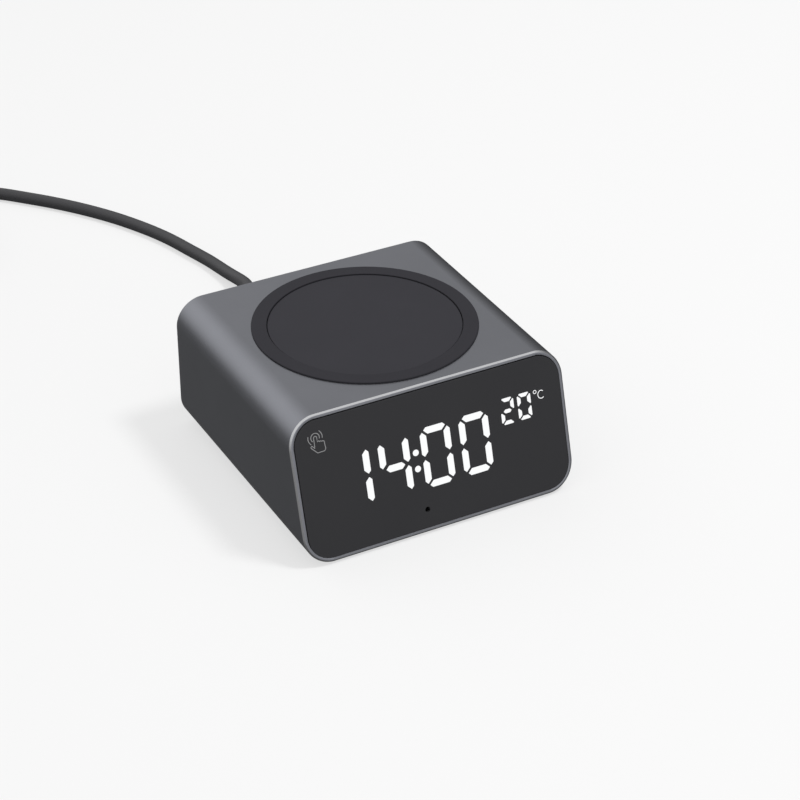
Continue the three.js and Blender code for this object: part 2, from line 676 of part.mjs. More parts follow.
function rearCover() {
  const panel = plate(
    roundedRect(INNER_WIDTH - 2 * PLAY, INNER_HEIGHT - 2 * PLAY, INNER_CORNER - PLAY),
    COVER_THICK,
  ).translate(0, MIDDLE_Z, 0);
  const deep = 3 * COVER_THICK;
  const port = slot(SOCKET[0] + 2 * PLAY, SOCKET[2] + 2 * PLAY, SOCKET[2] / 2, 0, SOCKET_Z);
  const buttons = Object.values(BUTTON_PLACES).map((x) =>
    rod(BUTTON_RADIUS + GAP, deep, x, BUTTON_Z, -COVER_THICK, 24),
  );
  const knob = slot(...slideSlot, GAP, ...SWITCH_PLACE);
  const thumb = slot(slideSlot[0] + 3, slideSlot[1] + 1.6, 1, ...SWITCH_PLACE, 0.5);
  const sound = [-2, -1, 0, 1, 2].map((i) =>
    slot(1.2, 9 - 1.2 * Math.abs(i), 0.59, BUZZER_PLACE[0] + 2.4 * i, BUZZER_PLACE[1]),
  );
  const screws = COVER_SCREW_PLACES.flatMap((x) => [
    rod(SCREW_RADIUS + 2 * PLAY, deep, x, COVER_SCREW_Z, -COVER_THICK),
    rod(SCREW_HEAD + GAP, 2, x, COVER_SCREW_Z, -0.7, 24),
  ]);
  return cut(panel, port, ...buttons, knob, thumb, ...sound, ...screws);
}

const stemEnd = FLANGE_START + BUTTON_FLANGE + 3;
const tactStart = stemEnd + 1.9;
const plungerEnd = tactStart + 1.8;

const buttonCap = spindle(
  [
    [BUTTON_RADIUS, -BUTTON_PROUD],
    [BUTTON_RADIUS, FLANGE_START],
    [BUTTON_RADIUS + 0.8, FLANGE_START],
    [BUTTON_RADIUS + 0.8, FLANGE_START + BUTTON_FLANGE],
    [1.2, FLANGE_START + BUTTON_FLANGE],
    [1.2, stemEnd],
  ],
  24,
);
const plunger = rod(PLUNGER_RADIUS, plungerEnd - stemEnd, 0, 0, stemEnd);
const tactBody = cut(
  block(TACT[0], TACT[2], TACT[1], 0, 0, tactStart),
  rod(PLUNGER_RADIUS + PLAY, plungerEnd - tactStart + BUTTON_TRAVEL + 0.2 + 1, 0, 0, tactStart - 1),
);

piece(rear, "rear_cover", rearCover(), BLACK_PLASTIC);
for (const [use, x] of Object.entries(BUTTON_PLACES)) {
  piece(rear, `button_${use}`, buttonCap, GREY_PLASTIC, x, BUTTON_Z);
  piece(rear, `plunger_${use}`, plunger, STEEL, x, BUTTON_Z);
  piece(rear, `tact_${use}`, tactBody, BLACK_PLASTIC, x, BUTTON_Z);
}
COVER_SCREW_PLACES.forEach((x, i) => {
  const form = screw(SCREW_RADIUS, SCREW_HEAD, 8, 1.1).rotateX(Math.PI);
  piece(rear, `cover_screw_${i + 1}`, form, STEEL, x, COVER_SCREW_Z, 1.3);
});

const switchBody = cut(
  block(slideSlot[0] + 2.6, slideSlot[1] + 2, 3.6, 0, 0, COVER_THICK),
  block(...slideSlot, 3.6, 0, 0, COVER_THICK - 1.2),
);
const knobForm = block(...KNOB, COVER_THICK + 2.2, 0, 0, -0.4);
piece(rear, "slide_switch", switchBody, STEEL, ...SWITCH_PLACE);
piece(rear, "slide_knob", knobForm, GREY_PLASTIC, SWITCH_PLACE[0] - SWITCH_TRAVEL / 2, SWITCH_PLACE[1]);

const buzzerForm = cut(
  rod(BUZZER_RADIUS, 5.5, 0, 0, COVER_THICK, 24),
  rod(1.2, 3, 0, 0, COVER_THICK - 1, 12),
);
piece(rear, "buzzer", buzzerForm, CHIP, ...BUZZER_PLACE);

// USB-C receptacle: a flattened tube with a tongue on its back wall.
function socketForm() {
  const [width, depth, height] = SOCKET;
  const round = (w, h) => roundedRect(w, h, h / 2 - 0.05);
  const shell = plate(round(width, height), depth, 0, FINE_ARC_SEGMENTS);
  const hollow = round(width - 2 * SOCKET_SHEET, height - 2 * SOCKET_SHEET);
  const inside = plate(hollow, depth, -0.8, FINE_ARC_SEGMENTS);
  const tongue = block(6.4, 0.7, depth - 1.4, 0, 0, 1);
  return join(cut(shell, inside), tongue);
}
piece(rear, "usb_socket", socketForm(), STEEL, 0, SOCKET_Z);

// ---------------------------------------------------------------- charging pad

const chargerBoardTop = CHARGER_BOARD_Z + CHARGER_BOARD_THICK;
const chargerPost = [Math.cos(CHARGER_POST_TURN), Math.sin(CHARGER_POST_TURN)].map(
  (share) => share * (TRAY_RADIUS - CHARGER_POST_INSET),
);
const chargerBoard = block(
  2 * (chargerPost[0] + POST_EDGE),
  2 * (chargerPost[1] + POST_EDGE),
  CHARGER_BOARD_THICK,
);
// The flange has flats where the sleeve's ceiling starts to curve down, if it reaches so far.
const flangeFlats = [-1, 1].map((side) =>
  block(
    WIDTH,
    4 * PAD_RADIUS,
    2 * TRAY_FLANGE_THICK,
    side * (INNER_WIDTH - INNER_CORNER - GAP + WALL),
    0,
    CEILING_Z - TRAY_FLANGE_THICK - GAP,
  ),
);
const wholeTray = join(
  turned([
    [0, TRAY_BOTTOM_Z],
    [TRAY_RADIUS, TRAY_BOTTOM_Z],
    [TRAY_RADIUS, CEILING_Z - TRAY_FLANGE_THICK],
    [HOLE_RADIUS + TRAY_FLANGE, CEILING_Z - TRAY_FLANGE_THICK],
    [HOLE_RADIUS + TRAY_FLANGE, CEILING_Z],
    [TRAY_RADIUS, CEILING_Z],
    [TRAY_RADIUS, SEAT_Z],
    [TRAY_RADIUS - TRAY_WALL, SEAT_Z],
    [TRAY_RADIUS - TRAY_WALL, MAGNET_SEAT_Z],
    [SHELF_INNER, MAGNET_SEAT_Z],
    [SHELF_INNER, TRAY_FLOOR_Z],
    [0, TRAY_FLOOR_Z],
  ]),
  ...[-1, 1].flatMap((side) =>
    [-1, 1].map((end) =>
      rod(
        POST_RADIUS,
        TRAY_BOTTOM_Z - chargerBoardTop + TRAY_FLOOR / 2,
        side * chargerPost[0],
        end * chargerPost[1],
        chargerBoardTop,
      ),
    ),
  ),
);
const ringForm = turned([
  [DISC_RADIUS + PLAY, SEAT_Z],
  [TRAY_RADIUS, SEAT_Z],
  [TRAY_RADIUS, ROOF_Z],
  [PAD_RADIUS, ROOF_Z],
  [PAD_RADIUS, ROOF_Z + PAD_RISE],
  [DISC_RADIUS + PLAY, ROOF_Z + PAD_RISE],
]);
const ferriteTop = TRAY_FLOOR_Z + FERRITE_THICK;
const ferriteForm = washer(2, SHELF_INNER - GAP, TRAY_FLOOR_Z, ferriteTop);
const coilWinding = washer(COIL_INNER, COIL_OUTER, ferriteTop, ferriteTop + COIL_THICK);

piece(charger, "charge_tray", cut(wholeTray, ...flangeFlats), BLACK_PLASTIC);
piece(charger, "ferrite_sheet", ferriteForm, FERRITE);
piece(charger, "charge_coil", coilWinding, COPPER);
piece(charger, "magnet_ring", washer(MAGNET_INNER, MAGNET_OUTER, MAGNET_SEAT_Z, SEAT_Z), NICKEL);
piece(charger, "pad_ring", ringForm, RING_SILICONE);
piece(charger, "pad_disc", rod(DISC_RADIUS, DISC_THICK, 0, 0, SEAT_Z, ROUND_SEGMENTS), DISC_SILICONE);
piece(charger, "charger_board", chargerBoard, CIRCUIT, 0, 0, CHARGER_BOARD_Z);
piece(charger, "charger_shield", block(20, 16, 2.8), STEEL, -8, 4, CHARGER_BOARD_Z - 2.8);
piece(charger, "charger_choke", rod(3.5, 4, 0, 0, 0), CHIP, 14, -6, CHARGER_BOARD_Z - 4);

// ---------------------------------------------------------------- lead

const CORD_SIDES = 10;
const cordSection = new THREE.Shape().absarc(0, 0, CORD_RADIUS, 0, 2 * Math.PI);

function cordAlong(points, steps) {
  const route = new THREE.CatmullRomCurve3(points.map((point) => new THREE.Vector3(...point)));
  return new THREE.ExtrudeGeometry(cordSection, {
    steps,
    extrudePath: route,
    curveSegments: CORD_SIDES / 2,
    bevelEnabled: false,
  });
}

// A flattened block along Y, from y onwards.
const grip = ([width, length, height], radius, y, z) =>
  plate(roundedRect(width, height, radius), length, 0, FINE_ARC_SEGMENTS)
    .rotateX(Math.PI / 2)
    .translate(0, y + length, z);

const gripStart = COVER_Y + GAP;
const reliefStart = gripStart + PLUG_GRIP[1];
const shellForm = cut(
  grip(PLUG_SHELL, PLUG_SHELL[2] / 2 - 0.02, gripStart - PLUG_SHELL[1], SOCKET_Z),
  grip([6.9, PLUG_SHELL[1] - 0.4, 1.1], 0.4, gripStart - PLUG_SHELL[1] - GAP, SOCKET_Z),
);
const relief = spindle([
  [3, 0],
  [CORD_RADIUS + 0.3, RELIEF_LENGTH],
]).rotateX(-Math.PI / 2);

piece(lead, "usb_c_shell", shellForm, NICKEL);
piece(lead, "usb_c_grip", grip(PLUG_GRIP, 2.6, gripStart, SOCKET_Z), JACKET);
piece(lead, "usb_c_relief", relief, JACKET, 0, reliefStart, SOCKET_Z);
piece(lead, "cord_run", cordAlong(RUN_POINTS, 50), JACKET);

// The coil, cut away under it where the tie passes; the tie goes round the turns at the side
// of the coil that is nearest to the clock.
function coilForm() {
  const [across, height] = COIL_SECTION;
  const ring = washer(COIL_RADIUS - across / 2, COIL_RADIUS + across / 2, 0, height);
  return cut(ring, block(TIE[0] + 2 * GAP, across + 4, TIE[1] + 2 * GAP, 0, -COIL_RADIUS, -GAP));
}
function tieForm() {
  const [width, thick] = TIE;
  const across = COIL_SECTION[0] + 2 * GAP;
  const height = COIL_SECTION[1] + GAP - thick;
  const strap = roundedRect(across + 2 * thick, height + 2 * thick, 2);
  strap.holes.push(roundedRect(across, height, GAP, THREE.Path));
  return plate(strap, width, -width / 2, FINE_ARC_SEGMENTS)
    .rotateY(Math.PI / 2)
    .rotateX(Math.PI / 2)
    .translate(0, 0, height / 2 + thick);
}

piece(lead, "cord_coil", coilForm(), JACKET, ...COIL_CENTRE);
piece(lead, "cord_tie", tieForm(), RUBBER, COIL_CENTRE[0], COIL_CENTRE[1] - COIL_RADIUS);
piece(lead, "cord_tail", cordAlong(TAIL_POINTS, 10), JACKET);

const tailEndY = TAIL_POINTS.at(-1)[1];
const aGripEnd = tailEndY - GAP - A_RELIEF_LENGTH;
const aGripStart = aGripEnd - A_GRIP[1];
const plugZ = A_GRIP[2] / 2;
const aRelief = spindle([
  [3.4, 0],
  [CORD_RADIUS + 0.3, A_RELIEF_LENGTH],
]).rotateX(-Math.PI / 2);
const aShell = cut(
  grip(A_SHELL, 0.4, aGripStart - A_SHELL[1], plugZ),
  grip([A_SHELL[0] - 0.8, 9, 1.9], 0.2, aGripStart - A_SHELL[1] - 0.5, plugZ + 0.9),
);
piece(lead, "usb_a_relief", aRelief, JACKET, A_PLUG_X, aGripEnd, plugZ);
piece(lead, "usb_a_grip", grip(A_GRIP, 2.4, aGripStart, plugZ), JACKET, A_PLUG_X);
piece(lead, "usb_a_shell", aShell, NICKEL, A_PLUG_X);

export default clock;
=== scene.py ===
"""Looks of a bedside alarm clock with a magnetic charging pad, built around its frame.

Lengths are metres. +Z is up, the display faces -Y and the rear panel faces +Y.
"""

import json
import math
from functools import partial

import bmesh
import bpy
from bpy.props import FloatProperty, FloatVectorProperty, IntProperty, PointerProperty
from mathutils import Matrix, Vector


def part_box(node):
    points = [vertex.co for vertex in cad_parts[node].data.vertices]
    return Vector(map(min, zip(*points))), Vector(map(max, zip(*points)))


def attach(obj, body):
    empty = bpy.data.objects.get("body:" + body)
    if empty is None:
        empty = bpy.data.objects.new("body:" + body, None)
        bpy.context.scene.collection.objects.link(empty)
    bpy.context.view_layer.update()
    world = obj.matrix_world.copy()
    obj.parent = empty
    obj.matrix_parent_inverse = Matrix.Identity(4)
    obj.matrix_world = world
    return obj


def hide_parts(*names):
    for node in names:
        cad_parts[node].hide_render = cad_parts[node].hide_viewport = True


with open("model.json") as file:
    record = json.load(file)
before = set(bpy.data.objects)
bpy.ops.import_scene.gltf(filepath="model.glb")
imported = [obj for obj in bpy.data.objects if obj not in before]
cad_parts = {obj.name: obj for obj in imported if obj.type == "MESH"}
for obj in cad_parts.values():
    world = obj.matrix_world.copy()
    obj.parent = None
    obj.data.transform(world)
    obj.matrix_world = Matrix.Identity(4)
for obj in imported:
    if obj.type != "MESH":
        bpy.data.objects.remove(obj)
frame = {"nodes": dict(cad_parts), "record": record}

bl_info = {
    "name": "Bedside charging clock",
    "version": (1, 0, 0),
    "blender": (4, 5, 0),
    "location": "3D View > Sidebar > Clock",
    "description": "Builds the looks of a bedside alarm clock with a charging pad",
    "category": "Add Mesh",
}

MM = 0.001
X, Y, Z = range(3)
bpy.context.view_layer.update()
CASE_LOW, CASE_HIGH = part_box("housing")
BODY = "clock"


def mm(*values):
    """Lengths in millimetres as metres."""
    return tuple(round(value * MM, 8) for value in values)


# The lead's route where it isn't coiled, from the strain relief to the coil.
RUN_POINTS = [
    mm(0, 75.3, 11.9),
    mm(0.4, 81, 11.6),
    mm(1.9, 89, 10.1),
    mm(4.3, 97.5, 7.3),
    mm(5.9, 106, 4.4),
    mm(5.5, 115, 2.8),
    mm(3.9, 126, 2.2),
    mm(1.3, 135.7, 2.15),
    mm(-1.8, 146.5, 2.15),
    mm(-5.9, 156.8, 2.15),
    mm(-11.9, 168.6, 2.15),
    mm(-18.7, 179.2, 2.15),
    mm(-26, 188.8, 2.15),
    mm(-33.8, 197.6, 2.15),
    mm(-41.6, 205.6, 2.15),
    mm(-50, 211, 2.15),
    mm(-59.5, 213.2, 2.15),
    mm(-72.5, 213.2, 2.15),
]
# From the coil's upper outer turn down to the USB-A plug beside it.
TAIL_POINTS = [
    mm(-119.2, 167, 6.3),
    mm(-118.9, 161, 6.1),
    mm(-117.5, 154.5, 5.4),
    mm(-115.2, 148.5, 4.6),
    mm(-113.4, 143, 4.1),
    mm(-113, 138.3, 4),
]
TIE_THICK = 1.0 * MM
TIE_REACH = 0.55  # radians over which the turns rise on to the tie
COIL_CLEAR = 0.05 * MM


# ---- settings


def setting(kind, name, description, default, **unit):
    return kind(name=name, description=description, default=default, **unit)


amount_setting = partial(setting, FloatProperty)
length_setting = partial(setting, FloatProperty, unit="LENGTH", precision=5)
angle_setting = partial(setting, FloatProperty, subtype="ANGLE")
count_setting = partial(setting, IntProperty)
side_setting = partial(setting, FloatVectorProperty)
colour_setting = partial(setting, FloatVectorProperty, subtype="COLOR", size=3, min=0, max=1)


class CaseSettings(bpy.types.PropertyGroup):
    corner: length_setting("Corner", "Radius of the sleeve's four long edges", 8.5 * MM)
    wall: length_setting("Wall", "Thickness of the aluminium sleeve", 2.4 * MM)
    chamfer: length_setting("Chamfer", "Bright cut edge at both ends", 0.45 * MM)
    rim: length_setting("Rim", "Flat of the front rim inside its cut edge", 0.75 * MM)
    proud: length_setting("Proud lens", "How far the lens stands before the rim", 0.25 * MM)
    lean: angle_setting("Lean", "How far the front leans back", math.radians(16.07))
    colour: colour_setting("Anodising", "Colour of the blasted aluminium", (0.198, 0.203, 0.223))


class DisplaySettings(bpy.types.PropertyGroup):
    digit_width: length_setting("Digit width", "Width of a clock digit", 9.45 * MM)
    digit_height: length_setting("Digit height", "Height of a clock digit", 17.7 * MM)
    stroke: length_setting("Stroke", "Width of a clock digit's bars", 1.97 * MM)
    hours: count_setting("Hours", "Hours shown", 14, min=10, max=23)
    minutes: count_setting("Minutes", "Minutes shown", 0, min=0, max=59)
    degrees: count_setting("Degrees", "Temperature shown", 20, min=10, max=99)
    brightness: amount_setting("Brightness", "Light given by the bars", 0.8)


class PadSettings(bpy.types.PropertyGroup):
    rounding: length_setting("Ring rounding", "Radius of the raised ring's edges", 0.22 * MM)
    colour: colour_setting("Silicone", "Colour of the charging disc", (0.0265, 0.0259, 0.031))


class LeadSettings(bpy.types.PropertyGroup):
    diameter: length_setting("Diameter", "Diameter of the lead", 4.2 * MM)
    length: length_setting("Length", "Whole length of the free lead", 1.2)
    pitch: length_setting("Pitch", "Distance between neighbouring turns", 4.25 * MM)
    turns: amount_setting("Turns", "Turns in the coil", 6.25)
    colour: colour_setting("Jacket", "Colour of the lead's jacket", (0.028, 0.028, 0.031))


class StageSettings(bpy.types.PropertyGroup):
    azimuth: angle_setting("Azimuth", "Camera's turn about Z", math.radians(-28.23))
    elevation: angle_setting("Elevation", "Camera's height angle", math.radians(32.54))
    away: length_setting("Distance", "How far the camera stands back", 700.65 * MM)
    lens: amount_setting("Lens", "Focal length", 107.05, unit="CAMERA")
    floor: colour_setting("Floor", "Colour of the table", (0.24, 0.24, 0.24))
    glow: amount_setting("Glow", "Even light that the table adds", 0.63)
    key: amount_setting("Key", "Power of the lamp above on the right", 11.0, unit="POWER")
    sky: amount_setting("Sky", "Strength of the even surroundings", 0.88)
    box: amount_setting("Soft box", "Strength of the soft box", 0.6)
    box_side: side_setting("Soft box side", "Direction of the soft box", (-0.42, 0.74, 0.45))
    flag_side: side_setting("Flag side", "Direction of the dark flag", (0.97, 0.1, -0.2))


# ---- materials


class Level:
    """A shader socket on which Python's arithmetic adds Math nodes."""

    def __init__(self, look, socket):
        self.look = look
        self.socket = socket

    def maths(self, operation, first, second):
        return self.look.add("Math", {"operation": operation}, {0: first, 1: second})

    def __add__(self, other):
        return self.maths("ADD", self, other)

    def __sub__(self, other):
        return self.maths("SUBTRACT", self, other)

    def __rsub__(self, other):
        return self.maths("SUBTRACT", other, self)

    def __mul__(self, other):
        return self.maths("MULTIPLY", self, other)



class Look:
    """A node material in the making, by its name, or the nodes of a world."""

    def __init__(self, owner):
        self.owner = bpy.data.materials.new(owner) if isinstance(owner, str) else owner
        self.owner.use_nodes = True
        self.tree = self.owner.node_tree
        self.tree.nodes.clear()

    def add(self, kind, settings=(), sockets=(), out=0):
        node = self.tree.nodes.new("ShaderNode" + kind)
        for key, value in dict(settings).items():
            if key == "stops":
                while len(node.color_ramp.elements) < len(value):
                    node.color_ramp.elements.new(0.5)
                for stop, (position, shade) in zip(node.color_ramp.elements, value):
                    stop.position = position
                    stop.color = (shade, shade, shade, 1)
            else:
                setattr(node, key, value)
        for key, value in dict(sockets).items():
            if isinstance(value, Level):
                self.tree.links.new(value.socket, node.inputs[key])
            else:
                node.inputs[key].default_value = value
        return Level(self, node.outputs[out]) if len(node.outputs) else None

    def place(self, scale=(1, 1, 1), shift=(0, 0, 0)):
        """Object coordinates, moved and stretched."""
        at = self.add("TexCoord", out=3)
        return self.add("Mapping", {}, {"Vector": at, "Location": shift, "Scale": scale})

    def noise(self, scale, detail=2, at=None):
        at = at or self.add("TexCoord", out=3)
        return self.add("TexNoise", {}, {"Vector": at, "Scale": scale, "Detail": detail})

    def cells(self, scale, feature="SMOOTH_F1", at=None, randomness=1.0):
        sockets = {"Vector": at or self.place(), "Scale": scale, "Randomness": randomness}
        return self.add("TexVoronoi", {"feature": feature}, sockets)

    def wave(self, scale, distortion, at=None, **settings):
        sockets = {"Vector": at or self.place(), "Scale": scale, "Distortion": distortion}
        return self.add("TexWave", settings, sockets)

    def ramp(self, value, low, high, dark=0.0, light=1.0):
        return self.add("ValToRGB", {"stops": [(low, dark), (high, light)]}, {0: value})

    def blend(self, factor, *colours):
        """The second colour over the first by the factor; each is a colour or a socket."""
        first, second = (each if isinstance(each, Level) else (*each, 1) for each in colours)
        return self.add("Mix", {"data_type": "RGBA"}, {0: factor, 6: first, 7: second}, out=2)

    def surface(self, base, roughness, height=None, relief=0.0, **constants):
        """Closes the material; relief is the real depth of the height pattern."""
        sockets = {name.replace("_", " "): value for name, value in constants.items()}
        sockets["Base Color"] = base if isinstance(base, Level) else (*base, 1)
        sockets["Roughness"] = roughness
        if height is not None:
            bump = {"Strength": 1.0, "Distance": relief, "Height": height}
            sockets["Normal"] = self.add("Bump", {}, bump)
        shader = self.add("BsdfPrincipled", {}, sockets)
        self.add("OutputMaterial", {}, {"Surface": shader})
        return self.owner


def shade(colour, factor):
    return tuple(min(1.0, part * factor) for part in colour)


def blasted_aluminium(name, colour, roughness=0.36):
    """Bead-blasted and anodised: fine even grain, with faint cloudiness."""
    look = Look(name)
    cloud = look.noise(60, 3)
    grain = look.noise(5200)
    base = look.blend(cloud * 0.5 + grain * 0.5, shade(colour, 0.86), shade(colour, 1.14))
    rough = grain * 0.1 + (roughness - 0.05)
    return look.surface(base, rough, grain, 6e-6, Metallic=0.92, Specular_IOR_Level=0.5)


def cut_edge():
    """Diamond-cut edge: bright, with lines left along the cut."""
    look = Look("bright_cut_edge")
    lines = look.noise(900, at=look.place(scale=(0.1, 4, 4)))
    base = look.blend(lines, (0.56, 0.565, 0.58), (0.72, 0.725, 0.74))
    return look.surface(base, lines * 0.1 + 0.25, lines, 2e-6, Metallic=1.0)


def smoked_acrylic():
    """Dark lens with a fine anti-glare face and a trace of cloudiness."""
    look = Look("smoked_acrylic")
    cloud = look.noise(45)
    grain = look.noise(6500)
    base = look.blend(cloud, (0.028, 0.028, 0.0305), (0.031, 0.031, 0.0336))
    return look.surface(base, grain * 0.12 + 0.36, grain, 1e-6, IOR=1.3)


def glowing(name, brightness):
    """Light that comes through the lens, with a faint unevenness in its tint."""
    look = Look(name)
    cells = look.noise(700)
    tint = look.blend(cells, (0.93, 0.95, 0.97), (1, 1, 1))
    lit = {"Emission_Color": tint, "Emission_Strength": brightness}
    return look.surface((0.2, 0.2, 0.2), cells * 0.1 + 0.4, **lit)


def silicone(name, colour, grain=2600, relief=1.2e-5, roughness=0.62):
    """Matt moulded rubber with a fine stipple and a little dust in it."""
    look = Look(name)
    stipple = look.noise(grain, 2)
    cloud = look.noise(70, 3)
    dust = look.ramp(look.noise(1500, 4), 0.66, 0.8)
    base = look.blend(cloud * 0.6 + stipple * 0.4, shade(colour, 0.88), shade(colour, 1.12))
    dusty = look.blend(dust * 0.25, base, shade(colour, 1.9))
    rough = stipple * 0.14 + (roughness - 0.07)
    return look.surface(dusty, rough, stipple, relief, Specular_IOR_Level=0.12)


def moulded_plastic(name, colour, grain=1700, relief=1.6e-5, roughness=0.5):
    """Spark-eroded mould texture: small rounded pits of uneven size."""
    look = Look(name)
    pits = look.cells(grain)
    cloud = look.noise(80, 3)
    base = look.blend(cloud, shade(colour, 0.85), shade(colour, 1.15))
    return look.surface(base, pits * 0.15 + roughness - 0.05, pits, relief)


def plated_steel(name, colour, roughness=0.28, stretch=(1, 1, 0.05)):
    """Rolled or turned metal: drawn-out lines with small stains."""
    look = Look(name)
    lines = look.noise(2200, 3, at=look.place(scale=stretch))
    stain = look.noise(220, 4)
    base = look.blend(stain * 0.6 + lines * 0.4, shade(colour, 0.8), shade(colour, 1.12))
    return look.surface(base, stain * 0.16 + roughness - 0.06, lines, 4e-6, Metallic=1.0)


def circuit_board():
    """Solder mask over copper tracks, with plated pads."""
    look = Look("circuit_board")
    cells = look.cells(420, "DISTANCE_TO_EDGE", look.place(scale=(1, 1, 0.2)), 0.6)
    track = look.ramp(cells, 0.06, 0.09, 1.0, 0.0)
    pad = look.ramp(look.cells(260, "F1"), 0.12, 0.15, 1.0, 0.0)
    mask = look.blend(track, (0.008, 0.05, 0.026), (0.02, 0.11, 0.055))
    base = look.blend(pad, mask, (0.62, 0.5, 0.28))
    return look.surface(base, 0.42 - pad * 0.14, track * 0.5 + pad, 2e-5, Metallic=pad * 0.9)


def wound_copper(centre):
    """Flat spiral of enamelled wire round a centre."""
    look = Look("wound_copper")
    at = look.place(shift=-centre)
    wire = look.wave(330.0, 0.1, at, wave_type="RINGS", rings_direction="Z")
    strand = look.noise(1800)
    base = look.blend(wire * 0.7 + strand * 0.3, (0.16, 0.045, 0.012), (0.62, 0.25, 0.09))
    return look.surface(base, strand * 0.1 + 0.3, wire, 2.5e-4, Metallic=0.85)


def sintered_ferrite():
    """Brittle grey sheet, scored into small squares."""
    look = Look("sintered_ferrite")
    cracks = look.cells(170, "DISTANCE_TO_EDGE", randomness=0.25)
    line = look.ramp(cracks, 0.0, 0.03, 1.0, 0.0)
    grain = look.noise(900, 3)
    base = look.blend(grain, (0.03, 0.031, 0.034), (0.055, 0.057, 0.062))
    return look.surface(base, grain * 0.15 + 0.55, grain * 0.4 - line, 3e-5)


def foam():
    """Soft closed cells, nearly black."""
    look = Look("closed_cell_foam")
    cells = look.cells(2300)
    base = look.blend(cells, (0.006, 0.006, 0.006), (0.022, 0.022, 0.023))
    return look.surface(base, cells * 0.1 + 0.82, cells, 6e-5)


def satin_film(name, colour):
    """Plain plastic with a slight haze."""
    look = Look(name)
    haze = look.noise(300, 4)
    base = look.blend(haze, shade(colour, 0.93), shade(colour, 1.05))
    return look.surface(base, haze * 0.1 + 0.42, haze, 4e-6)


def cord_jacket(colour):
    """Matt elastomer with faint drawing marks and handling smears."""
    look = Look("cord_jacket")
    mottle = look.noise(420, 3)
    stipple = look.noise(3800)
    base = look.blend(mottle * 0.6 + stipple * 0.4, shade(colour, 0.84), shade(colour, 1.16))
    rough = mottle * 0.12 + stipple * 0.06 + 0.42
    return look.surface(base, rough, stipple * 0.6 + mottle * 0.4, 1.4e-5)


def hook_and_loop():
    """Woven strap with a fuzzy pile."""
    look = Look("hook_and_loop")
    warp = look.wave(620.0, 1.5, bands_direction="X")
    weft = look.wave(480.0, 1.5, bands_direction="Z")
    pile = look.noise(2400, 4)
    weave = warp * 0.4 + weft * 0.3 + pile * 0.3
    base = look.blend(weave, (0.009, 0.009, 0.01), (0.04, 0.04, 0.043))
    return look.surface(base, pile * 0.1 + 0.85, weave, 1.2e-4)


def table_top(colour, glow):
    """A matt sweep of paper, lit evenly from beneath so that shadows stay pale."""
    look = Look("table_top")
    cloud = look.noise(3)
    base = look.blend(cloud, shade(colour, 0.995), colour)
    lit = {"Emission_Color": (1, 1, 1, 1), "Emission_Strength": glow}
    return look.surface(base, 0.9, Specular_IOR_Level=0.0, **lit)


# ---- mesh helpers


def settings():
    return bpy.context.scene.clock_build


def extent(node):
    """A CAD node's low corner, high corner and middle."""
    low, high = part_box(node)
    return low, high, (low + high) / 2


def added(name, data):
    """A new object in the scene, at the origin."""
    obj = bpy.data.objects.new(name, data)
    bpy.context.scene.collection.objects.link(obj)
    return obj


def mesh_of(name, bm):
    """Turns a bmesh into a mesh, and frees it."""
    mesh = bpy.data.meshes.new(name)
    bm.to_mesh(mesh)
    bm.free()
    return mesh


def finished(obj):
    """A bmesh of an object as its modifiers or its bevel leave it."""
    evaluated = obj.evaluated_get(bpy.context.evaluated_depsgraph_get())
    bm = bmesh.new()
    bm.from_mesh(evaluated.to_mesh())
    evaluated.to_mesh_clear()
    return bm


def wire(name, points, width, fineness, closed=False):
    """A round wire through points, as a curve object."""
    curve = bpy.data.curves.new(name, "CURVE")
    curve.dimensions = "3D"
    curve.bevel_depth = width / 2
    curve.bevel_resolution = fineness
    curve.use_fill_caps = not closed
    spline = curve.splines.new("POLY")
    spline.points.add(len(points) - 1)
    for point, place in zip(spline.points, points):
        point.co = (*place, 1)
    spline.use_cyclic_u = closed
    return added(name, curve)


def piece(name, bm, looks, replaces=(), body=BODY, weighted=True):
    """Turns a bmesh into an object that rides on a body and may stand for CAD nodes."""
    bm.normal_update()
    for face in bm.faces:
        face.smooth = True
    for edge in bm.edges:
        edge.smooth = edge.is_manifold and edge.calc_face_angle(0.0) < math.radians(30)
    mesh = mesh_of(name, bm)
    for look in looks:
        mesh.materials.append(look)
    obj = added(name, mesh)
    if weighted:
        modifier = obj.modifiers.new("Even shading", "WEIGHTED_NORMAL")
        modifier.keep_sharp = True
    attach(obj, body)
    if replaces:
        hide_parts(*replaces)


def moved(bm, matrix):
    bmesh.ops.transform(bm, matrix=matrix, verts=bm.verts)
    return bm


def rounded(bm, parts, radius, segments, affect="EDGES"):
    bmesh.ops.bevel(
        bm,
        geom=parts,
        offset=radius,
        offset_type="OFFSET",
        segments=segments,
        profile=0.5,
        affect=affect,
        material=-1,
        clamp_overlap=affect == "EDGES",
    )


def crisp_edges(bm, degrees):
    """Edges that turn by more than the given angle."""
    bm.normal_update()
    limit = math.radians(degrees)
    return [e for e in bm.edges if e.is_manifold and e.calc_face_angle(0) > limit]


def rod(radius, depth, at, segments=32):
    """An upright cylinder with its middle at a place."""
    bm = bmesh.new()
    size = {"radius1": radius, "radius2": radius, "depth": depth, "segments": segments}
    bmesh.ops.create_cone(bm, cap_ends=True, matrix=Matrix.Translation(at), **size)
    return bm


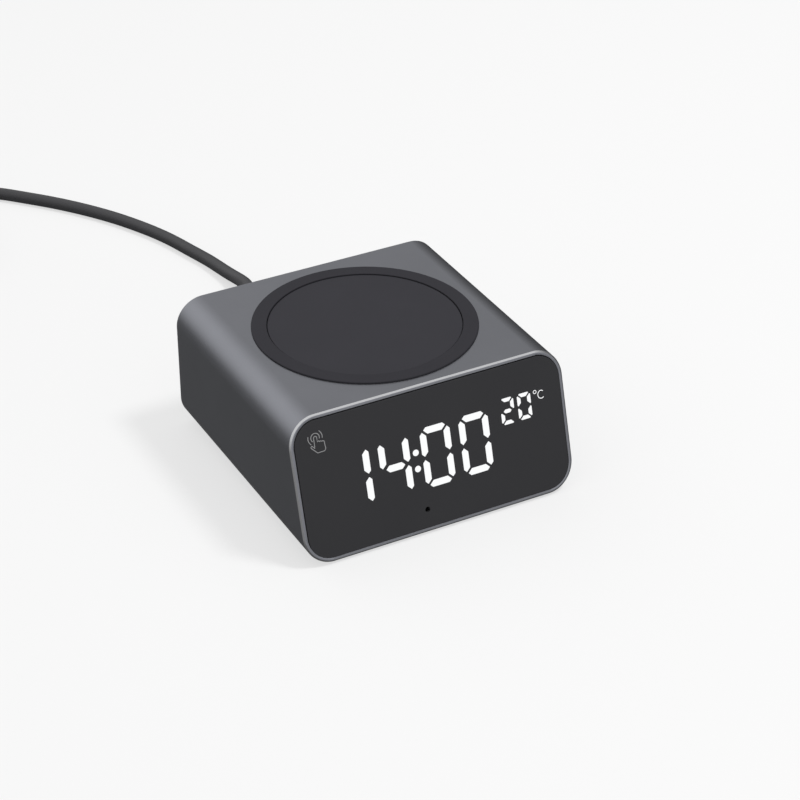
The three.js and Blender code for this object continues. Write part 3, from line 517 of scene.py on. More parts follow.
def soft_block(size, centre, along, radius, segments, edge=0.0, edge_segments=2):
    """A block whose four edges along one axis are rounded, and then the edges of its two ends."""
    bm = bmesh.new()
    bmesh.ops.create_cube(bm, size=1.0, matrix=Matrix.Diagonal((*size, 1)))
    half = size[along] / 2
    sides = [e for e in bm.edges if abs((e.verts[0].co - e.verts[1].co)[along]) > half]
    rounded(bm, sides, radius, segments)
    if edge:
        ends = [f for f in bm.faces if abs(f.calc_center_median()[along]) > half - 1e-7]
        rounded(bm, list({e for f in ends for e in f.edges}), edge, edge_segments)
    bmesh.ops.translate(bm, vec=centre, verts=bm.verts)
    return bm


def spun(profile, segments, matrix):
    """A solid of revolution about Z from (radius, z, rounding) corners, then placed by a matrix."""
    bm = bmesh.new()
    corners = [bm.verts.new((radius, 0, z)) for radius, z, _ in profile]
    bm.faces.new(corners)
    for corner, (_, _, rounding) in zip(corners, profile):
        if rounding:
            rounded(bm, [corner], rounding, 4, "VERTICES")
    bmesh.ops.delete(bm, geom=bm.faces[:], context="FACES_ONLY")
    on_axis = [e for e in bm.edges if all(abs(v.co.x) < 1e-9 for v in e.verts)]
    bmesh.ops.delete(bm, geom=on_axis, context="EDGES")
    around = {"cent": (0, 0, 0), "axis": (0, 0, 1), "angle": 2 * math.pi}
    swept = bm.verts[:] + bm.edges[:]
    bmesh.ops.spin(bm, geom=swept, steps=segments, use_merge=True, **around)
    bmesh.ops.remove_doubles(bm, verts=bm.verts, dist=1e-7)
    bmesh.ops.recalc_face_normals(bm, faces=bm.faces)
    return moved(bm, matrix)


def merged(*parts):
    """One bmesh that holds all the parts; each part's faces keep their material."""
    whole = bmesh.new()
    for part in parts:
        scratch = mesh_of("scratch", part)
        whole.from_mesh(scratch)
        bpy.data.meshes.remove(scratch)
    return whole


def cut_by(bm, *cutters):
    """The bmesh with the cutters' shapes taken out of it, by an exact boolean."""
    made = [added("cut", mesh_of("cut", form)) for form in (bm, *cutters)]
    target = made[0]
    for cutter in made[1:]:
        modifier = target.modifiers.new("Cut", "BOOLEAN")
        modifier.operation = "DIFFERENCE"
        modifier.solver = "EXACT"
        modifier.object = cutter
    result = finished(target)
    for obj in made:
        mesh = obj.data
        bpy.data.objects.remove(obj)
        bpy.data.meshes.remove(mesh)
    return result


def stroke(points, width, closed=False):
    """A fine line in XY through points in millimetres, drawn as a round wire."""
    obj = wire("stroke", [(*mm(*place), 0) for place in points], width, 2, closed)
    curve = obj.data
    bm = finished(obj)
    bpy.data.objects.remove(obj)
    bpy.data.curves.remove(curve)
    bmesh.ops.remove_doubles(bm, verts=bm.verts, dist=1e-8)
    return bm


def pressed(bm, rise):
    """Squeezed flat, from z = 0 up to its rise."""
    low = min(v.co.z for v in bm.verts)
    high = max(v.co.z for v in bm.verts)
    for vert in bm.verts:
        vert.co.z = rise * (vert.co.z - low) / (high - low)
    return bm


def arc(x, y, radius, start, end, steps=16, tall=1.0):
    """Points on an arc, by its centre, radius and angles in degrees."""
    angles = [math.radians(start + (end - start) * i / steps) for i in range(steps + 1)]
    return [(x + radius * math.cos(a), y + radius * tall * math.sin(a)) for a in angles]


def front_plane():
    """Matrix of the lens's face: x across, y up the face from the body's lower edge, z outwards."""
    case = settings().case
    y = CASE_LOW.y - math.tan(case.lean) * case.chamfer
    rim = Matrix.Translation((0, y, CASE_LOW.z)) @ Matrix.Rotation(math.pi / 2 - case.lean, 4, "X")
    return rim @ Matrix.Translation((0, 0, case.proud))


# ---- operators


class Build:
    """What all the operators share."""

    bl_options = {"REGISTER", "UNDO"}

    def execute(self, context):
        self.make(settings())
        return {"FINISHED"}


# The camera turns about the aim, and then shifts to the right and up in its own view.
AIM = (0, -0.11 * MM, CASE_LOW.z)
AIM_RIGHT = 7.49 * MM
AIM_UP = 15.45 * MM


class CLOCK_OT_camera(Build, bpy.types.Operator):
    """Set the camera at the product's three-quarter view"""

    bl_idname = "clock.camera"
    bl_label = "Camera"

    def make(self, build):
        stage = build.stage
        turn = stage.azimuth
        level = math.cos(stage.elevation)
        back = Vector(
            (math.sin(turn) * level, -math.cos(turn) * level, math.sin(stage.elevation))
        )
        right = Vector((math.cos(turn), math.sin(turn), 0))
        up = back.cross(right)
        data = bpy.data.cameras.new("camera")
        data.lens = stage.lens
        data.sensor_width = 36
        data.clip_start = 0.01
        data.clip_end = 50
        camera = added("camera", data)
        turned = Matrix((right, up, back)).transposed().to_4x4()
        place = Vector(AIM) + back * stage.away + right * AIM_RIGHT + up * AIM_UP
        camera.matrix_world = Matrix.Translation(place) @ turned
        bpy.context.scene.camera = camera


class CLOCK_OT_lead(Build, bpy.types.Operator):
    """Lay the power lead along its route and wind what is left into a coil"""

    bl_idname = "clock.lead"
    bl_label = "Lead and coil"

    def make(self, build):
        lead = build.lead
        route = self.smooth([*RUN_POINTS, *self.coil(lead), *TAIL_POINTS])
        for place in route:
            place.z = max(place.z, lead.diameter / 2)
        cord = wire("power_lead", route, lead.diameter, 6)
        cord.data.materials.append(cord_jacket(lead.colour))
        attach(cord, BODY)
        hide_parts("cord_run", "cord_coil", "cord_tail")

    @staticmethod
    def coil(lead):
        """Spirals in on the table, climbs at the inside, and spirals out on top of itself."""
        centre = extent("cord_coil")[2]
        outer = RUN_POINTS[-1][1] - centre.y
        half = lead.turns / 2
        steps = 30
        points = []
        for i in range(1, int(lead.turns * steps) + 1):
            turn = i / steps
            angle = math.pi / 2 + 2 * math.pi * turn
            radius = outer - lead.pitch * (half - abs(turn - half))
            climb = min(1.0, max(0.0, (turn - half) * 4 + 0.5))
            climb = climb * climb * (3 - 2 * climb)
            from_tie = math.remainder(angle + math.pi / 2, 2 * math.pi)
            lift = TIE_THICK * math.exp(-((from_tie / TIE_REACH) ** 2))
            height = lead.diameter / 2 + COIL_CLEAR + lead.pitch * climb + lift
            x = centre.x + radius * math.cos(angle)
            y = centre.y + radius * math.sin(angle)
            points.append((x, y, height))
        return points

    @staticmethod
    def smooth(points, per_step=4):
        """Points of a Catmull-Rom curve through the given ones."""
        ends = [points[0], *points, points[-1]]
        route = []
        for before, start, end, after in zip(ends, ends[1:], ends[2:], ends[3:]):
            a, b, c, d = (Vector(p) for p in (before, start, end, after))
            for i in range(per_step):
                t = i / per_step
                bend = (2 * a - 5 * b + 4 * c - d) * t * t
                twist = (3 * b - 3 * c + d - a) * t * t * t
                route.append(0.5 * (2 * b + (c - a) * t + bend + twist))
        route.append(Vector(points[-1]))
        return route


ALONG_Y = Matrix.Rotation(-math.pi / 2, 4, "X")


class CLOCK_OT_plugs(Build, bpy.types.Operator):
    """Mould the grips and strain reliefs of both plugs, and wrap the tie round the coil"""

    bl_idname = "clock.plugs"
    bl_label = "Plugs and tie"

    def make(self, build):
        jacket = silicone("plug_elastomer", build.lead.colour, grain=2400, roughness=0.5)
        shell = plated_steel("plug_nickel", (0.62, 0.61, 0.59), 0.2, stretch=(1, 0.08, 1))
        insulator = moulded_plastic("plug_insulator", (0.7, 0.7, 0.68), roughness=0.4)
        self.usb_c(jacket)
        self.usb_a(jacket, shell, insulator)
        self.tie(build.lead)

    @staticmethod
    def relief(node, ridges):
        """A tapered sleeve along Y with grooves cut round it, wide end at the grip."""
        low, high, centre = extent(node)
        length = high.y - low.y + 0.8 * MM  # it grips the start of the lead
        wide = (high.x - low.x) / 2
        thin = 2.35 * MM
        groove = 0.45 * MM
        profile = [(0, 0, 0), (wide, 0, 0)]
        for i in range(ridges):
            start = length * (0.14 + 0.8 * i / ridges)
            end = start + length * 0.8 / ridges * 0.45
            for z, sunk in ((start, 0), (start, groove), (end, groove), (end, 0)):
                radius = wide + (thin - wide) * z / length
                profile.append((radius - sunk, z, 0.12 * MM))
        profile += [(thin, length, 0.3 * MM), (0, length, 0)]
        return spun(profile, 48, Matrix.Translation((centre.x, low.y, centre.z)) @ ALONG_Y)

    @staticmethod
    def grip(node, radius, ribs=7):
        """A rounded grip along Y with a row of low ribs on its two broad sides."""
        low, high, centre = extent(node)
        size = high - low
        parts = [soft_block(size, centre, Y, radius, 14, 0.8 * MM, 5)]
        rib = (size.x * 0.5, 0.6 * MM, 0.36 * MM)
        for side in (-1, 1):
            z = centre.z + side * (size.z / 2 - 0.05 * MM)
            for i in range(ribs):
                place = (centre.x, centre.y + (i - (ribs - 1) / 2) * 1.3 * MM, z)
                parts.append(soft_block(rib, place, X, 0.15 * MM, 3, 0.12 * MM))
        bm = merged(*parts)
        for vert in bm.verts:
            vert.co.z = max(vert.co.z, low.z)  # the ribs beneath are pressed flat on the table
        return bm

    def usb_c(self, jacket):
        grip = self.grip("usb_c_grip", 2.7 * MM)
        piece("usb_c_overmould", grip, [jacket], ["usb_c_grip"])
        relief = self.relief("usb_c_relief", 5)
        piece("usb_c_strain", relief, [jacket], ["usb_c_relief"])

    def usb_a(self, jacket, shell, insulator):
        both = merged(self.grip("usb_a_grip", 2.6 * MM), self.relief("usb_a_relief", 4))
        piece("usb_a_plug", both, [jacket], ["usb_a_grip", "usb_a_relief"])
        low, high, centre = extent("usb_a_shell")
        size = high - low
        sheet = 0.35 * MM
        outer = soft_block(size, centre, Y, 0.5 * MM, 5, 0.12 * MM)
        bore = (size.x - 2 * sheet, size.y, size.z - 2 * sheet)
        mouth = soft_block(bore, centre - Vector(mm(0, 0.8, 0)), Y, 0.3 * MM, 4)
        latch = (*mm(1.9, 2.2), size.z * 2)
        latches = [
            soft_block(latch, centre + Vector(mm(x, -0.8, 0)), Z, 0.15 * MM, 2) for x in (-2.8, 2.8)
        ]
        tube = cut_by(outer, mouth, *latches)
        bar = (size.x - 3 * sheet, size.y - 1.6 * MM, 1.7 * MM)
        tongue = soft_block(bar, centre + Vector(mm(0, 0.2, -0.85)), Y, 0.1 * MM, 2)
        for face in tongue.faces:
            face.material_index = 1
        contacts = [
            soft_block(mm(1.1, 7.2, 0.1), centre + Vector(mm(x, -0.9, 0.04)), Y, 0.02 * MM, 1)
            for x in (-3.4, -1.1, 1.1, 3.4)
        ]
        whole = merged(tube, tongue, *contacts)
        piece("usb_a_shroud", whole, [shell, insulator], ["usb_a_shell"])

    def tie(self, lead):
        """A strap wrapped round the turns, with its free end lapped on top."""
        centre = extent("cord_coil")[2]
        outer = RUN_POINTS[-1][1] - centre.y
        far = outer - lead.pitch * 0.5 + lead.diameter / 2 + 0.15 * MM
        near = outer - lead.pitch * 2.75 - lead.diameter / 2 + 0.1 * MM
        inside = (far - near, 2 * lead.diameter + 0.25 * MM)
        thick = TIE_THICK * 0.9
        width = 5 * MM
        wrap = (width, inside[0] + 2 * thick, inside[1] + 2 * thick)
        hole = soft_block((width * 2, *inside), (0, 0, 0), X, 1.9 * MM, 8)
        band = cut_by(soft_block(wrap, (0, 0, 0), X, 2.6 * MM, 8, 0.25 * MM), hole)
        end = (width * 0.96, 9 * MM, thick * 0.75)
        on_top = (0, 1.5 * MM, inside[1] / 2 + thick * 1.32)
        strap = merged(band, soft_block(end, on_top, Z, 1.2 * MM, 5, 0.2 * MM))
        z = thick + 0.02 * MM + inside[1] / 2
        bmesh.ops.translate(strap, vec=(centre.x, centre.y - (far + near) / 2, z), verts=strap.verts)
        piece("lead_tie", strap, [hook_and_loop()], ["cord_tie"])


LENS_SEAT = 2.05 * MM  # from the rim back to the ledge behind the lens
ROOF_HOLE_INSET = 1.5 * MM  # inside the raised ring's outer edge
FOOT_CORNER = 6 * MM
FOOT_GAP = 0.15 * MM
BLASTED, CUT, RIM = range(3)  # the looks of the sleeve's faces


class CLOCK_OT_sleeve(Build, bpy.types.Operator):
    """Form the aluminium sleeve with its leaning front, cut edges and rims"""

    bl_idname = "clock.sleeve"
    bl_label = "Sleeve"

    def make(self, build):
        case = build.case
        size = CASE_HIGH - CASE_LOW
        centre = (CASE_LOW + CASE_HIGH) / 2
        bm = soft_block(size, centre, Y, case.corner, 28)
        self.lean(bm, case)
        front = self.end_face(bm, -1)
        rear = self.end_face(bm, 1)
        self.step(bm, front, case.chamfer, case.chamfer, CUT)
        self.step(bm, rear, case.chamfer, case.chamfer, CUT)
        self.step(bm, front, case.rim, 0, RIM)
        self.step(bm, rear, case.wall - case.chamfer, 0, RIM)
        self.step(bm, front, 0.02 * MM, -LENS_SEAT, BLASTED)
        self.step(bm, front, case.wall - case.chamfer - case.rim, 0, BLASTED)
        inner = [list(front.edges), list(rear.edges)]
        bmesh.ops.delete(bm, geom=[front, rear], context="FACES_ONLY")
        bmesh.ops.bridge_loops(bm, edges=inner[0] + inner[1])
        rounded(bm, crisp_edges(bm, 25), 0.05 * MM, 2)
        bmesh.ops.recalc_face_normals(bm, faces=bm.faces)
        bm = cut_by(bm, self.roof_hole(), self.foot_recess())
        looks = [
            blasted_aluminium("anodised_aluminium", case.colour),
            cut_edge(),
            # The rim takes the anodising's colour made 2.35 times lighter: a painted highlight for
            # the light that the flat front rim reflects.
            blasted_aluminium("rim_aluminium_painted_highlight", shade(case.colour, 2.35), 0.3),
        ]
        piece("aluminium_sleeve", bm, looks, ["housing"])

    @staticmethod
    def lean(bm, case):
        """Shears the front end, which then stands one chamfer behind the finished rim."""
        slope = math.tan(case.lean)
        for vert in bm.verts:
            if vert.co.y < 0:
                height = vert.co.z - CASE_LOW.z - case.chamfer
                vert.co.y = CASE_LOW.y + slope * height + case.chamfer
            else:
                vert.co.y -= case.chamfer

    @staticmethod
    def end_face(bm, side):
        bm.normal_update()
        faces = [f for f in bm.faces if f.normal.y * side > 0.8]
        return max(faces, key=lambda f: f.calc_area())

    @staticmethod
    def step(bm, face, thickness, depth, look):
        """Insets a face, moves it out by depth, and gives the new faces round it a look."""
        size = {"thickness": thickness, "depth": depth, "use_boundary": True}
        made = bmesh.ops.inset_region(bm, faces=[face], use_even_offset=True, **size)
        for ring in made["faces"]:
            ring.material_index = look

    @staticmethod
    def roof_hole():
        low, high, centre = extent("pad_ring")
        radius = (high.x - low.x) / 2 - ROOF_HOLE_INSET
        return rod(radius, 9 * MM, (centre.x, centre.y, CASE_HIGH.z), 96)

    @staticmethod
    def foot_recess():
        low, high, centre = extent("base_pad")
        size = high - low + Vector((2 * FOOT_GAP, 2 * FOOT_GAP, 0))
        return soft_block(size, centre, Z, FOOT_CORNER + FOOT_GAP, 10)


# Places on the lens are in millimetres: x from its middle, y up its slope from the body's foot.
PINHOLE = (-4.75, 6.8)
PINHOLE_RADIUS = 0.8 * MM
LENS_THICK = 1.2 * MM
LENS_GAP = 0.2 * MM


class CLOCK_OT_lens(Build, bpy.types.Operator):
    """Set the smoked lens with its pinhole into the front rim"""

    bl_idname = "clock.lens"
    bl_label = "Lens"

    def make(self, build):
        case = build.case
        inset = case.chamfer + case.rim + LENS_GAP
        height = (CASE_HIGH.z - CASE_LOW.z) / math.cos(case.lean)
        size = (CASE_HIGH.x - CASE_LOW.x - 2 * inset, height - 2 * inset, LENS_THICK)
        place = (0, height / 2, -LENS_THICK / 2)
        form = soft_block(size, place, Z, case.corner - inset, 28, 0.12 * MM, 3)
        pinhole = rod(PINHOLE_RADIUS, 3 * LENS_THICK, mm(*PINHOLE, 0))
        bm = moved(cut_by(form, pinhole), front_plane())
        piece("smoked_lens", bm, [smoked_acrylic()], ["lens"])


# Bars that each digit lights: top, upper left, upper right, middle, lower left, lower right, bottom.
DIGITS = (
    "1110111",
    "0010010",
    "1011101",
    "1011011",
    "0111010",
    "1101011",
    "1101111",
    "1010010",
    "1111111",
    "1111011",
)
BAR_RISE = 0.03 * MM
TIME_Y = 21.7
TIME_PLACES = [(x, TIME_Y) for x in (-24.95, -12.65, 0.52, 12.8)]
TIME_GAP = 0.5 * MM
COLON = [(-6.05, TIME_Y + side * 2.4) for side in (-1, 1)]
COLON_RADIUS = 0.93 * MM
SMALL_PLACES = ((24.0, 28.27), (29.53, 28.27))
SMALL_SIZE = mm(4.35, 7.8, 1.12)  # width, height and stroke
SMALL_GAP = 0.32 * MM
DEGREE_SIGN = arc(33.25, 31.42, 0.48, 0, 345, 16)
CELSIUS_SIGN = arc(35.2, 30.25, 1.05, 48, 312, 20, 1.12)
TIME_SHARE, SMALL_SHARE = 0.4, 0.22  # how much of a bar's thickness lies outside its points


class CLOCK_OT_digits(Build, bpy.types.Operator):
    """Light the time, the colon and the temperature behind the lens"""

    bl_idname = "clock.digits"
    bl_label = "Digits"

    def make(self, build):
        show = build.display
        light = glowing("display_light", show.brightness)
        size = (show.digit_width, show.digit_height, show.stroke)
        figures = f"{show.hours:02}{show.minutes:02}"
        parts = self.digits(figures, TIME_PLACES, size, TIME_GAP, TIME_SHARE)
        parts += [rod(COLON_RADIUS, BAR_RISE, mm(*place, 0)) for place in COLON]
        self.put("time_digits", parts, light)
        figures = f"{show.degrees:02}"
        parts = self.digits(figures, SMALL_PLACES, SMALL_SIZE, SMALL_GAP, SMALL_SHARE)
        parts.append(stroke(DEGREE_SIGN, 0.2 * MM, True))
        parts.append(stroke(CELSIUS_SIGN, 0.24 * MM))
        self.put("temperature_digits", parts, light)

    @staticmethod
    def put(name, parts, light):
        bm = moved(pressed(merged(*parts), BAR_RISE), front_plane())
        piece(name, bm, [light], weighted=False)

    def digits(self, figures, places, size, gap, share):
        """The lit bars of a row of digits."""
        rows = [
            self.digit(figure, mm(*place), size, gap, share) for figure, place in zip(figures, places)
        ]
        return [bar for row in rows for bar in row]

    def digit(self, figure, place, size, gap, share):
        """One digit's lit bars; share is how much of a bar lies outside its points."""
        x, y = place
        width, height, thick = size
        across = width / 2 - share * thick
        up = height / 2 - share * thick
        flat = 2 * (across - gap)
        tall = up - 2 * gap
        quarter = math.pi / 2
        plans = [
            (x, y + up, 0, flat, share),
            (x - across, y + up / 2, quarter, tall, share),
            (x + across, y + up / 2, -quarter, tall, share),
            (x, y, 0, flat - 2 * gap, 0.5),
            (x - across, y - up / 2, quarter, tall, share),
            (x + across, y - up / 2, -quarter, tall, share),
            (x, y - up, 2 * quarter, flat, share),
        ]
        lit = DIGITS[int(figure)]
        return [self.bar(*plan, thick) for plan, on in zip(plans, lit) if on == "1"]

    @staticmethod
    def bar(x, y, turn, length, share, thick):
        """A bar whose two points lie a share of its thickness from its outer side."""
        outer = thick * share
        inner = thick - outer
        end = length / 2
        outline = [
            (-end, 0),
            (inner - end, -inner),
            (end - inner, -inner),
            (end, 0),
            (end - outer, outer),
            (outer - end, outer),
        ]
        bm = bmesh.new()
        bm.faces.new([bm.verts.new((*corner, 0)) for corner in outline])
        rounded(bm, bm.verts[:], thick * 0.04, 3, "VERTICES")
        raised = bmesh.ops.extrude_face_region(bm, geom=bm.faces[:])
        top = [v for v in raised["geom"] if isinstance(v, bmesh.types.BMVert)]
        bmesh.ops.translate(bm, vec=(0, 0, BAR_RISE), verts=top)
        bmesh.ops.recalc_face_normals(bm, faces=bm.faces)
        return moved(bm, Matrix.Translation((x, y, 0)) @ Matrix.Rotation(turn, 4, "Z"))


MARK_LINE = 0.22 * MM


class CLOCK_OT_touch_mark(Build, bpy.types.Operator):
    """Print the faint tapping-hand mark of the touch area on the lens"""

    bl_idname = "clock.touch_mark"
    bl_label = "Touch mark"

    def make(self, build):
        hand = [
            (-35.7, 34.0),
            *arc(-35.22, 36.6, 0.48, 180, 0, 8),
            (-34.74, 35.3),
            *arc(-34.4, 35.2, 0.34, 150, 30, 3),
            *arc(-33.75, 35.05, 0.34, 150, 30, 3),
            *arc(-33.1, 34.85, 0.4, 130, 10, 4),
            (-32.6, 33.3),
            *arc(-33.4, 33.1, 0.85, 0, -70, 5),
            (-35.1, 32.25),
            *arc(-36.55, 34.2, 0.3, 215, 50, 6),
            (-35.7, 33.7),
        ]
        lines = [
            hand,
            arc(-35.22, 36.65, 1.28, 228, -22, 20),
            arc(-35.22, 36.65, 2.15, 160, 232, 10),
            arc(-35.22, 36.65, 2.15, 52, -14, 10),
        ]
        bm = merged(*(stroke(points, MARK_LINE) for points in lines))
        bm = moved(pressed(bm, 0.02 * MM), front_plane())
        ink = silicone("touch_mark_ink", (0.27, 0.27, 0.275), roughness=0.6)
        piece("touch_mark", bm, [ink], weighted=False)


class CLOCK_OT_pad(Build, bpy.types.Operator):
    """Mould the raised ring and the charging disc inside it"""

    bl_idname = "clock.pad"
    bl_label = "Charging pad"

    def make(self, build):
        pad = build.pad
        low, high, centre = extent("pad_ring")
        disc_low, disc_high, _ = extent("pad_disc")
        place = Matrix.Translation((centre.x, centre.y, 0))
        outer = (high.x - low.x) / 2
        disc = (disc_high.x - disc_low.x) / 2
        inner = disc + 0.15 * MM
        skirt = outer - 1.65 * MM
        roof = CASE_HIGH.z
        ring = [
            (inner, low.z, 0),
            (skirt, low.z, 0),
            (skirt, roof, 0),
            (outer, roof, 0),
            (outer, high.z, pad.rounding * 1.6),
            (inner, high.z, pad.rounding),
        ]
        dark = silicone("ring_silicone", shade(pad.colour, 0.9), grain=3000)
        form = spun(ring, 160, place)
        piece("pad_ring_moulding", form, [dark], ["pad_ring"])
        top = disc_high.z
        round_plate = [(0, disc_low.z, 0), (disc, disc_low.z, 0), (disc, top, 0.25 * MM), (0, top, 0)]
        soft = silicone("disc_silicone", pad.colour, grain=3400, roughness=0.55)
        form = spun(round_plate, 160, place)
        piece("charging_disc", form, [soft], ["pad_disc"])


class CLOCK_OT_base_pad(Build, bpy.types.Operator):
    """Mould the rubber pad that the clock stands on"""

    bl_idname = "clock.base_pad"
    bl_label = "Base pad"

    def make(self, build):
        low, high, centre = extent("base_pad")
        bm = soft_block(high - low, centre, Z, FOOT_CORNER, 12, 0.2 * MM, 3)
        under = min(bm.faces, key=lambda f: f.calc_center_median().z)
        for step in (mm(3, 0), mm(0.25, -0.25), mm(1, 0), mm(0.25, 0.25)):
            inset = dict(zip(("thickness", "depth"), step))
            bmesh.ops.inset_region(bm, faces=[under], use_even_offset=True, **inset)
        rubber = silicone("base_rubber", (0.02, 0.02, 0.022), grain=1500, relief=3e-5, roughness=0.8)
        piece("base_pad_moulding", bm, [rubber], ["base_pad"])


BUTTON_RADIUS = 2.8 * MM
BUTTON_STEM = 1.2 * MM


class CLOCK_OT_rear(Build, bpy.types.Operator):
    """Finish the rear panel, its buttons, slide knob and screws"""

    bl_idname = "clock.rear"
    bl_label = "Rear panel"

    def make(self, build):
        dark = (0.018, 0.018, 0.02)
        black = moulded_plastic("rear_panel_plastic", dark, grain=1300, relief=2.4e-5)
        panel = refined("rear_cover", 0.18 * MM)
        piece("rear_panel", panel, [black], ["rear_cover"])
        grey = (0.09, 0.094, 0.1)
        satin = moulded_plastic("button_plastic", grey, grain=2200, relief=8e-6, roughness=0.4)
        ink = silicone("button_ink", (0.4, 0.4, 0.41), roughness=0.55)
        for use in ("set", "alarm", "up", "down"):
            self.button(use, [satin, ink])
        self.knob(satin)
        steel = plated_steel("screw_steel", (0.3, 0.3, 0.31), 0.3, stretch=(1, 1, 1))
        for number in (1, 2):
            self.screw(number, steel)

    def button(self, use, looks):
        """A dished cap with a flange and a stem behind it, and a printed sign in the dish."""
        node = f"button_{use}"
        low, high, centre = extent(node)
        back = low.y
        out = high.y
        dish = out - 0.26 * MM
        radius = BUTTON_RADIUS
        flange = (high.x - low.x) / 2
        inside = extent("rear_cover")[0].y - 0.25 * MM
        behind = inside - 0.9 * MM
        profile = [
            (0, back, 0),
            (BUTTON_STEM, back, 0.1 * MM),
            (BUTTON_STEM, behind, 0),
            (flange, behind, 0),
            (flange, inside, 0),
            (radius, inside, 0),
            (radius, out, 0.3 * MM),
            (radius - 0.7 * MM, out, 0.15 * MM),
            (radius - 1.4 * MM, out - 0.22 * MM, 0.4 * MM),
            (0, dish, 0),
        ]
        cap = spun(profile, 48, Matrix.Translation((centre.x, 0, centre.z)) @ ALONG_Y)
        sign = self.sign(use, (centre.x, dish, centre.z))
        body = f"{use}_button"
        piece(f"{use}_cap", merged(cap, sign), looks, [node], body)

    @staticmethod
    def sign(use, middle):
        """A button's printed sign: a dial, a bell, a plus or a minus."""
        dome = arc(0, 0.3, 0.75, 180, 0, 12)
        bell = [(-1.1, -0.6), (-0.75, -0.2), *dome, (0.75, -0.2), (1.1, -0.6), (-1.1, -0.6)]
        flat = [(-0.9, 0), (0.9, 0)]
        lines = {
            "set": [arc(0, 0, 1.15, 0, 360, 28), [(0, 0.7), (0, 0), (0.5, -0.3)]],
            "alarm": [bell, [(-0.3, -1.0), (0.3, -1.0)]],
            "up": [flat, [(0, -0.9), (0, 0.9)]],
            "down": [flat],
        }
        bm = pressed(merged(*(stroke(line, MARK_LINE) for line in lines[use])), 0.05 * MM)
        for face in bm.faces:
            face.material_index = 1
        turn = Matrix(((-1, 0, 0), (0, 0, 1), (0, 1, 0))).to_4x4()
        return moved(bm, Matrix.Translation(middle) @ turn)

    @staticmethod
    def knob(look):
        """The slide knob, with three ribs for the fingernail."""
        low, high, centre = extent("slide_knob")
        body = soft_block(high - low, centre, Y, 0.25 * MM, 3, 0.15 * MM)
        size = (*mm(0.4, 0.3), high.z - low.z - 0.5 * MM)
        y = high.y - 0.06 * MM
        places = [(centre.x + i * 0.85 * MM, y, centre.z) for i in (-1, 0, 1)]
        ribs = [soft_block(size, place, Z, 0.12 * MM, 3) for place in places]
        whole = merged(body, *ribs)
        piece("slide_thumb", whole, [look], ["slide_knob"], "alarm_slider")

    @staticmethod
    def screw(number, look):
        """A pan-headed screw along Y with a cross recess."""
        node = f"cover_screw_{number}"
        low, high, centre = extent(node)
        head = (high.x - low.x) / 2
        seat = high.y - 1.1 * MM
        shank = 0.85 * MM
        profile = [
            (0, low.y, 0),
            (shank, low.y, 0.3 * MM),
            (shank, seat, 0),
            (head, seat, 0.1 * MM),
            (head, seat + 0.6 * MM, 0.4 * MM),
            (head * 0.6, high.y - 0.05 * MM, 0.4 * MM),
            (0, high.y, 0),
        ]
        form = spun(profile, 40, Matrix.Translation((centre.x, 0, centre.z)) @ ALONG_Y)
        slots = [
            soft_block(size, (centre.x, high.y, centre.z), Y, 0.1 * MM, 2)
            for size in (mm(2.1, 1.1, 0.5), mm(0.5, 1.1, 2.1))
        ]
        piece(f"rear_screw_{number}", cut_by(form, *slots), [look], [node])


def refined(node, edge):
    """A merged copy of a CAD node with its sharp edges rounded."""
    bm = bmesh.new()
    bm.from_mesh(frame["nodes"][node].data)
    bmesh.ops.remove_doubles(bm, verts=bm.verts, dist=1e-6)
    bmesh.ops.dissolve_limit(bm, angle_limit=math.radians(1), verts=bm.verts, edges=bm.edges)
    rounded(bm, crisp_edges(bm, 40), edge, 2)
    return bm


class CLOCK_OT_works(Build, bpy.types.Operator):
    """Give every inner piece its own finish"""

    bl_idname = "clock.works"
    bl_label = "Inner works"

    def make(self, build):
        epoxy = {"grain": 2600, "relief": 8e-6, "roughness": 0.4}
        looks = {
            "foam": foam(),
            "diffuser_film": satin_film("diffuser_film", (0.68, 0.68, 0.66)),
            "white_plastic": satin_film("white_light_guide", (0.78, 0.78, 0.75)),
            "circuit_board": circuit_board(),
            "copper": wound_copper(extent("charge_coil")[2]),
            "chip_black": moulded_plastic("moulded_epoxy", (0.01, 0.01, 0.011), **epoxy),
            "black_plastic": moulded_plastic("inner_black_plastic", (0.018, 0.018, 0.02)),
            "steel": plated_steel("plated_steel", (0.46, 0.47, 0.48)),
            "nickel": plated_steel("nickel_plate", (0.6, 0.6, 0.58), 0.18),
            "ferrite": sintered_ferrite(),
        }
        for entry in frame["record"]["subparts"]:
            node = frame["nodes"][entry["node"]]
            look = looks.get(entry["material_slot"])
            if look and not node.hide_render:
                node.data.materials.clear()
                node.data.materials.append(look)


# Each stop is a nearness to a direction, from -1 to 1, and a level: of the sky's light towards
# straight up, of the soft box's light, and of what the dark flag leaves of the sky's light.
SKY_STOPS = ((-1, 0.1), (-0.55, 0.14), (-0.05, 0.365), (0.35, 0.85), (0.7, 1.0))
BOX_STOPS = ((0.8, 0.0), (0.98, 1.0))
FLAG_STOPS = ((0.3, 1.0), (0.75, 0.25))
TABLE_SIZE = 12.0
LAMP_PLACE = (0.5, -0.32, 1.25)
LAMP_SIZE = 0.3


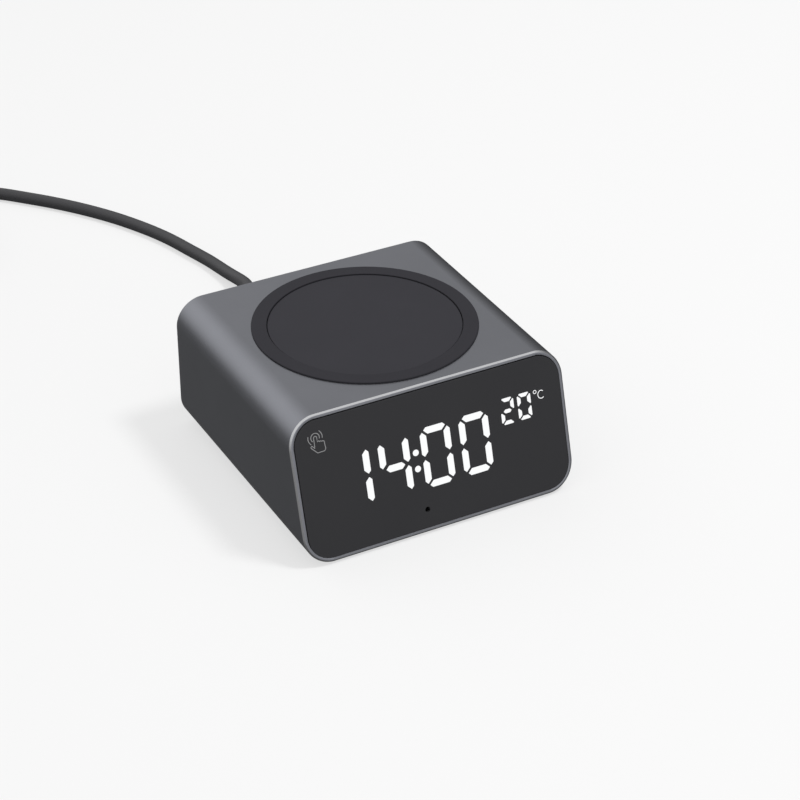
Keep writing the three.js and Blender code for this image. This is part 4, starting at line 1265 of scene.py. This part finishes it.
class CLOCK_OT_stage(Build, bpy.types.Operator):
    """Lay the pale table and hang the soft studio lights"""

    bl_idname = "clock.stage"
    bl_label = "Stage"

    def make(self, build):
        bm = bmesh.new()
        bmesh.ops.create_grid(bm, x_segments=2, y_segments=2, size=TABLE_SIZE)
        mesh = mesh_of("table", bm)
        mesh.materials.append(table_top(build.stage.floor, build.stage.glow))
        table = added("table", mesh)
        table.visible_glossy = False
        self.surroundings(build.stage)
        self.lamp(build.stage.key)
        view = bpy.context.scene.view_settings
        view.view_transform = "Standard"
        view.look = "None"

    @staticmethod
    def lamp(power):
        data = bpy.data.lights.new("key", "AREA")
        data.shape = "DISK"
        data.size = LAMP_SIZE
        data.energy = power
        lamp = added("key", data)
        spot = Vector(LAMP_PLACE)
        toward = spot.to_track_quat("Z", "Y").to_matrix().to_4x4()
        lamp.matrix_world = Matrix.Translation(spot) @ toward
        lamp.visible_glossy = False  # only the even surroundings show on the metal

    @staticmethod
    def surroundings(stage):
        """Bright above and dim below, with a soft box behind and a dark flag on the right."""
        world = bpy.data.worlds.new("studio")
        look = Look(world)
        toward = look.add("TexCoord")

        def nearness(side, stops):
            sockets = {0: toward, 1: Vector(side).normalized()}
            share = look.add("VectorMath", {"operation": "DOT_PRODUCT"}, sockets, out=1)
            halved = [((near + 1) / 2, level) for near, level in stops]
            return look.add("ValToRGB", {"stops": halved}, {0: share * 0.5 + 0.5})

        sky = nearness((0, 0, 1), SKY_STOPS) * nearness(stage.flag_side, FLAG_STOPS)
        light = sky * stage.sky + nearness(stage.box_side, BOX_STOPS) * stage.box
        look.add("OutputWorld", {}, {"Surface": look.add("Background", {}, {"Color": light})})
        bpy.context.scene.world = world


# ---- panel and registration

STEPS = (
    CLOCK_OT_camera,
    CLOCK_OT_plugs,
    CLOCK_OT_lead,
    CLOCK_OT_sleeve,
    CLOCK_OT_lens,
    CLOCK_OT_digits,
    CLOCK_OT_touch_mark,
    CLOCK_OT_pad,
    CLOCK_OT_base_pad,
    CLOCK_OT_rear,
    CLOCK_OT_works,
    CLOCK_OT_stage,
)


class ClockSettings(bpy.types.PropertyGroup):
    case: PointerProperty(type=CaseSettings, name="Case", description="Sleeve and rims")
    display: PointerProperty(type=DisplaySettings, name="Display", description="Digits")
    pad: PointerProperty(type=PadSettings, name="Pad", description="Ring and charging disc")
    lead: PointerProperty(type=LeadSettings, name="Lead", description="Power lead")
    stage: PointerProperty(type=StageSettings, name="Stage", description="Camera and table")


class CLOCK_PT_panel(bpy.types.Panel):
    """Lists the clock's settings and the steps that build it"""

    bl_idname = "CLOCK_PT_panel"
    bl_label = "Bedside clock"
    bl_space_type = "VIEW_3D"
    bl_region_type = "UI"
    bl_category = "Clock"

    def draw(self, context):
        for group in ("case", "display", "pad", "lead", "stage"):
            held = getattr(settings(), group)
            box = self.layout.box()
            for name in held.__annotations__:
                box.prop(held, name)
        for step in STEPS:
            self.layout.operator(step.bl_idname)


CLASSES = (
    CaseSettings,
    DisplaySettings,
    PadSettings,
    LeadSettings,
    StageSettings,
    ClockSettings,
    *STEPS,
    CLOCK_PT_panel,
)


def register():
    for cls in CLASSES:
        bpy.utils.register_class(cls)
    bpy.types.Scene.clock_build = PointerProperty(type=ClockSettings)


def unregister():
    del bpy.types.Scene.clock_build
    for cls in reversed(CLASSES):
        bpy.utils.unregister_class(cls)


def main():
    register()
    for step in STEPS:
        getattr(bpy.ops.clock, step.bl_idname.split(".")[1])()


if __name__ == "__main__":
    main()
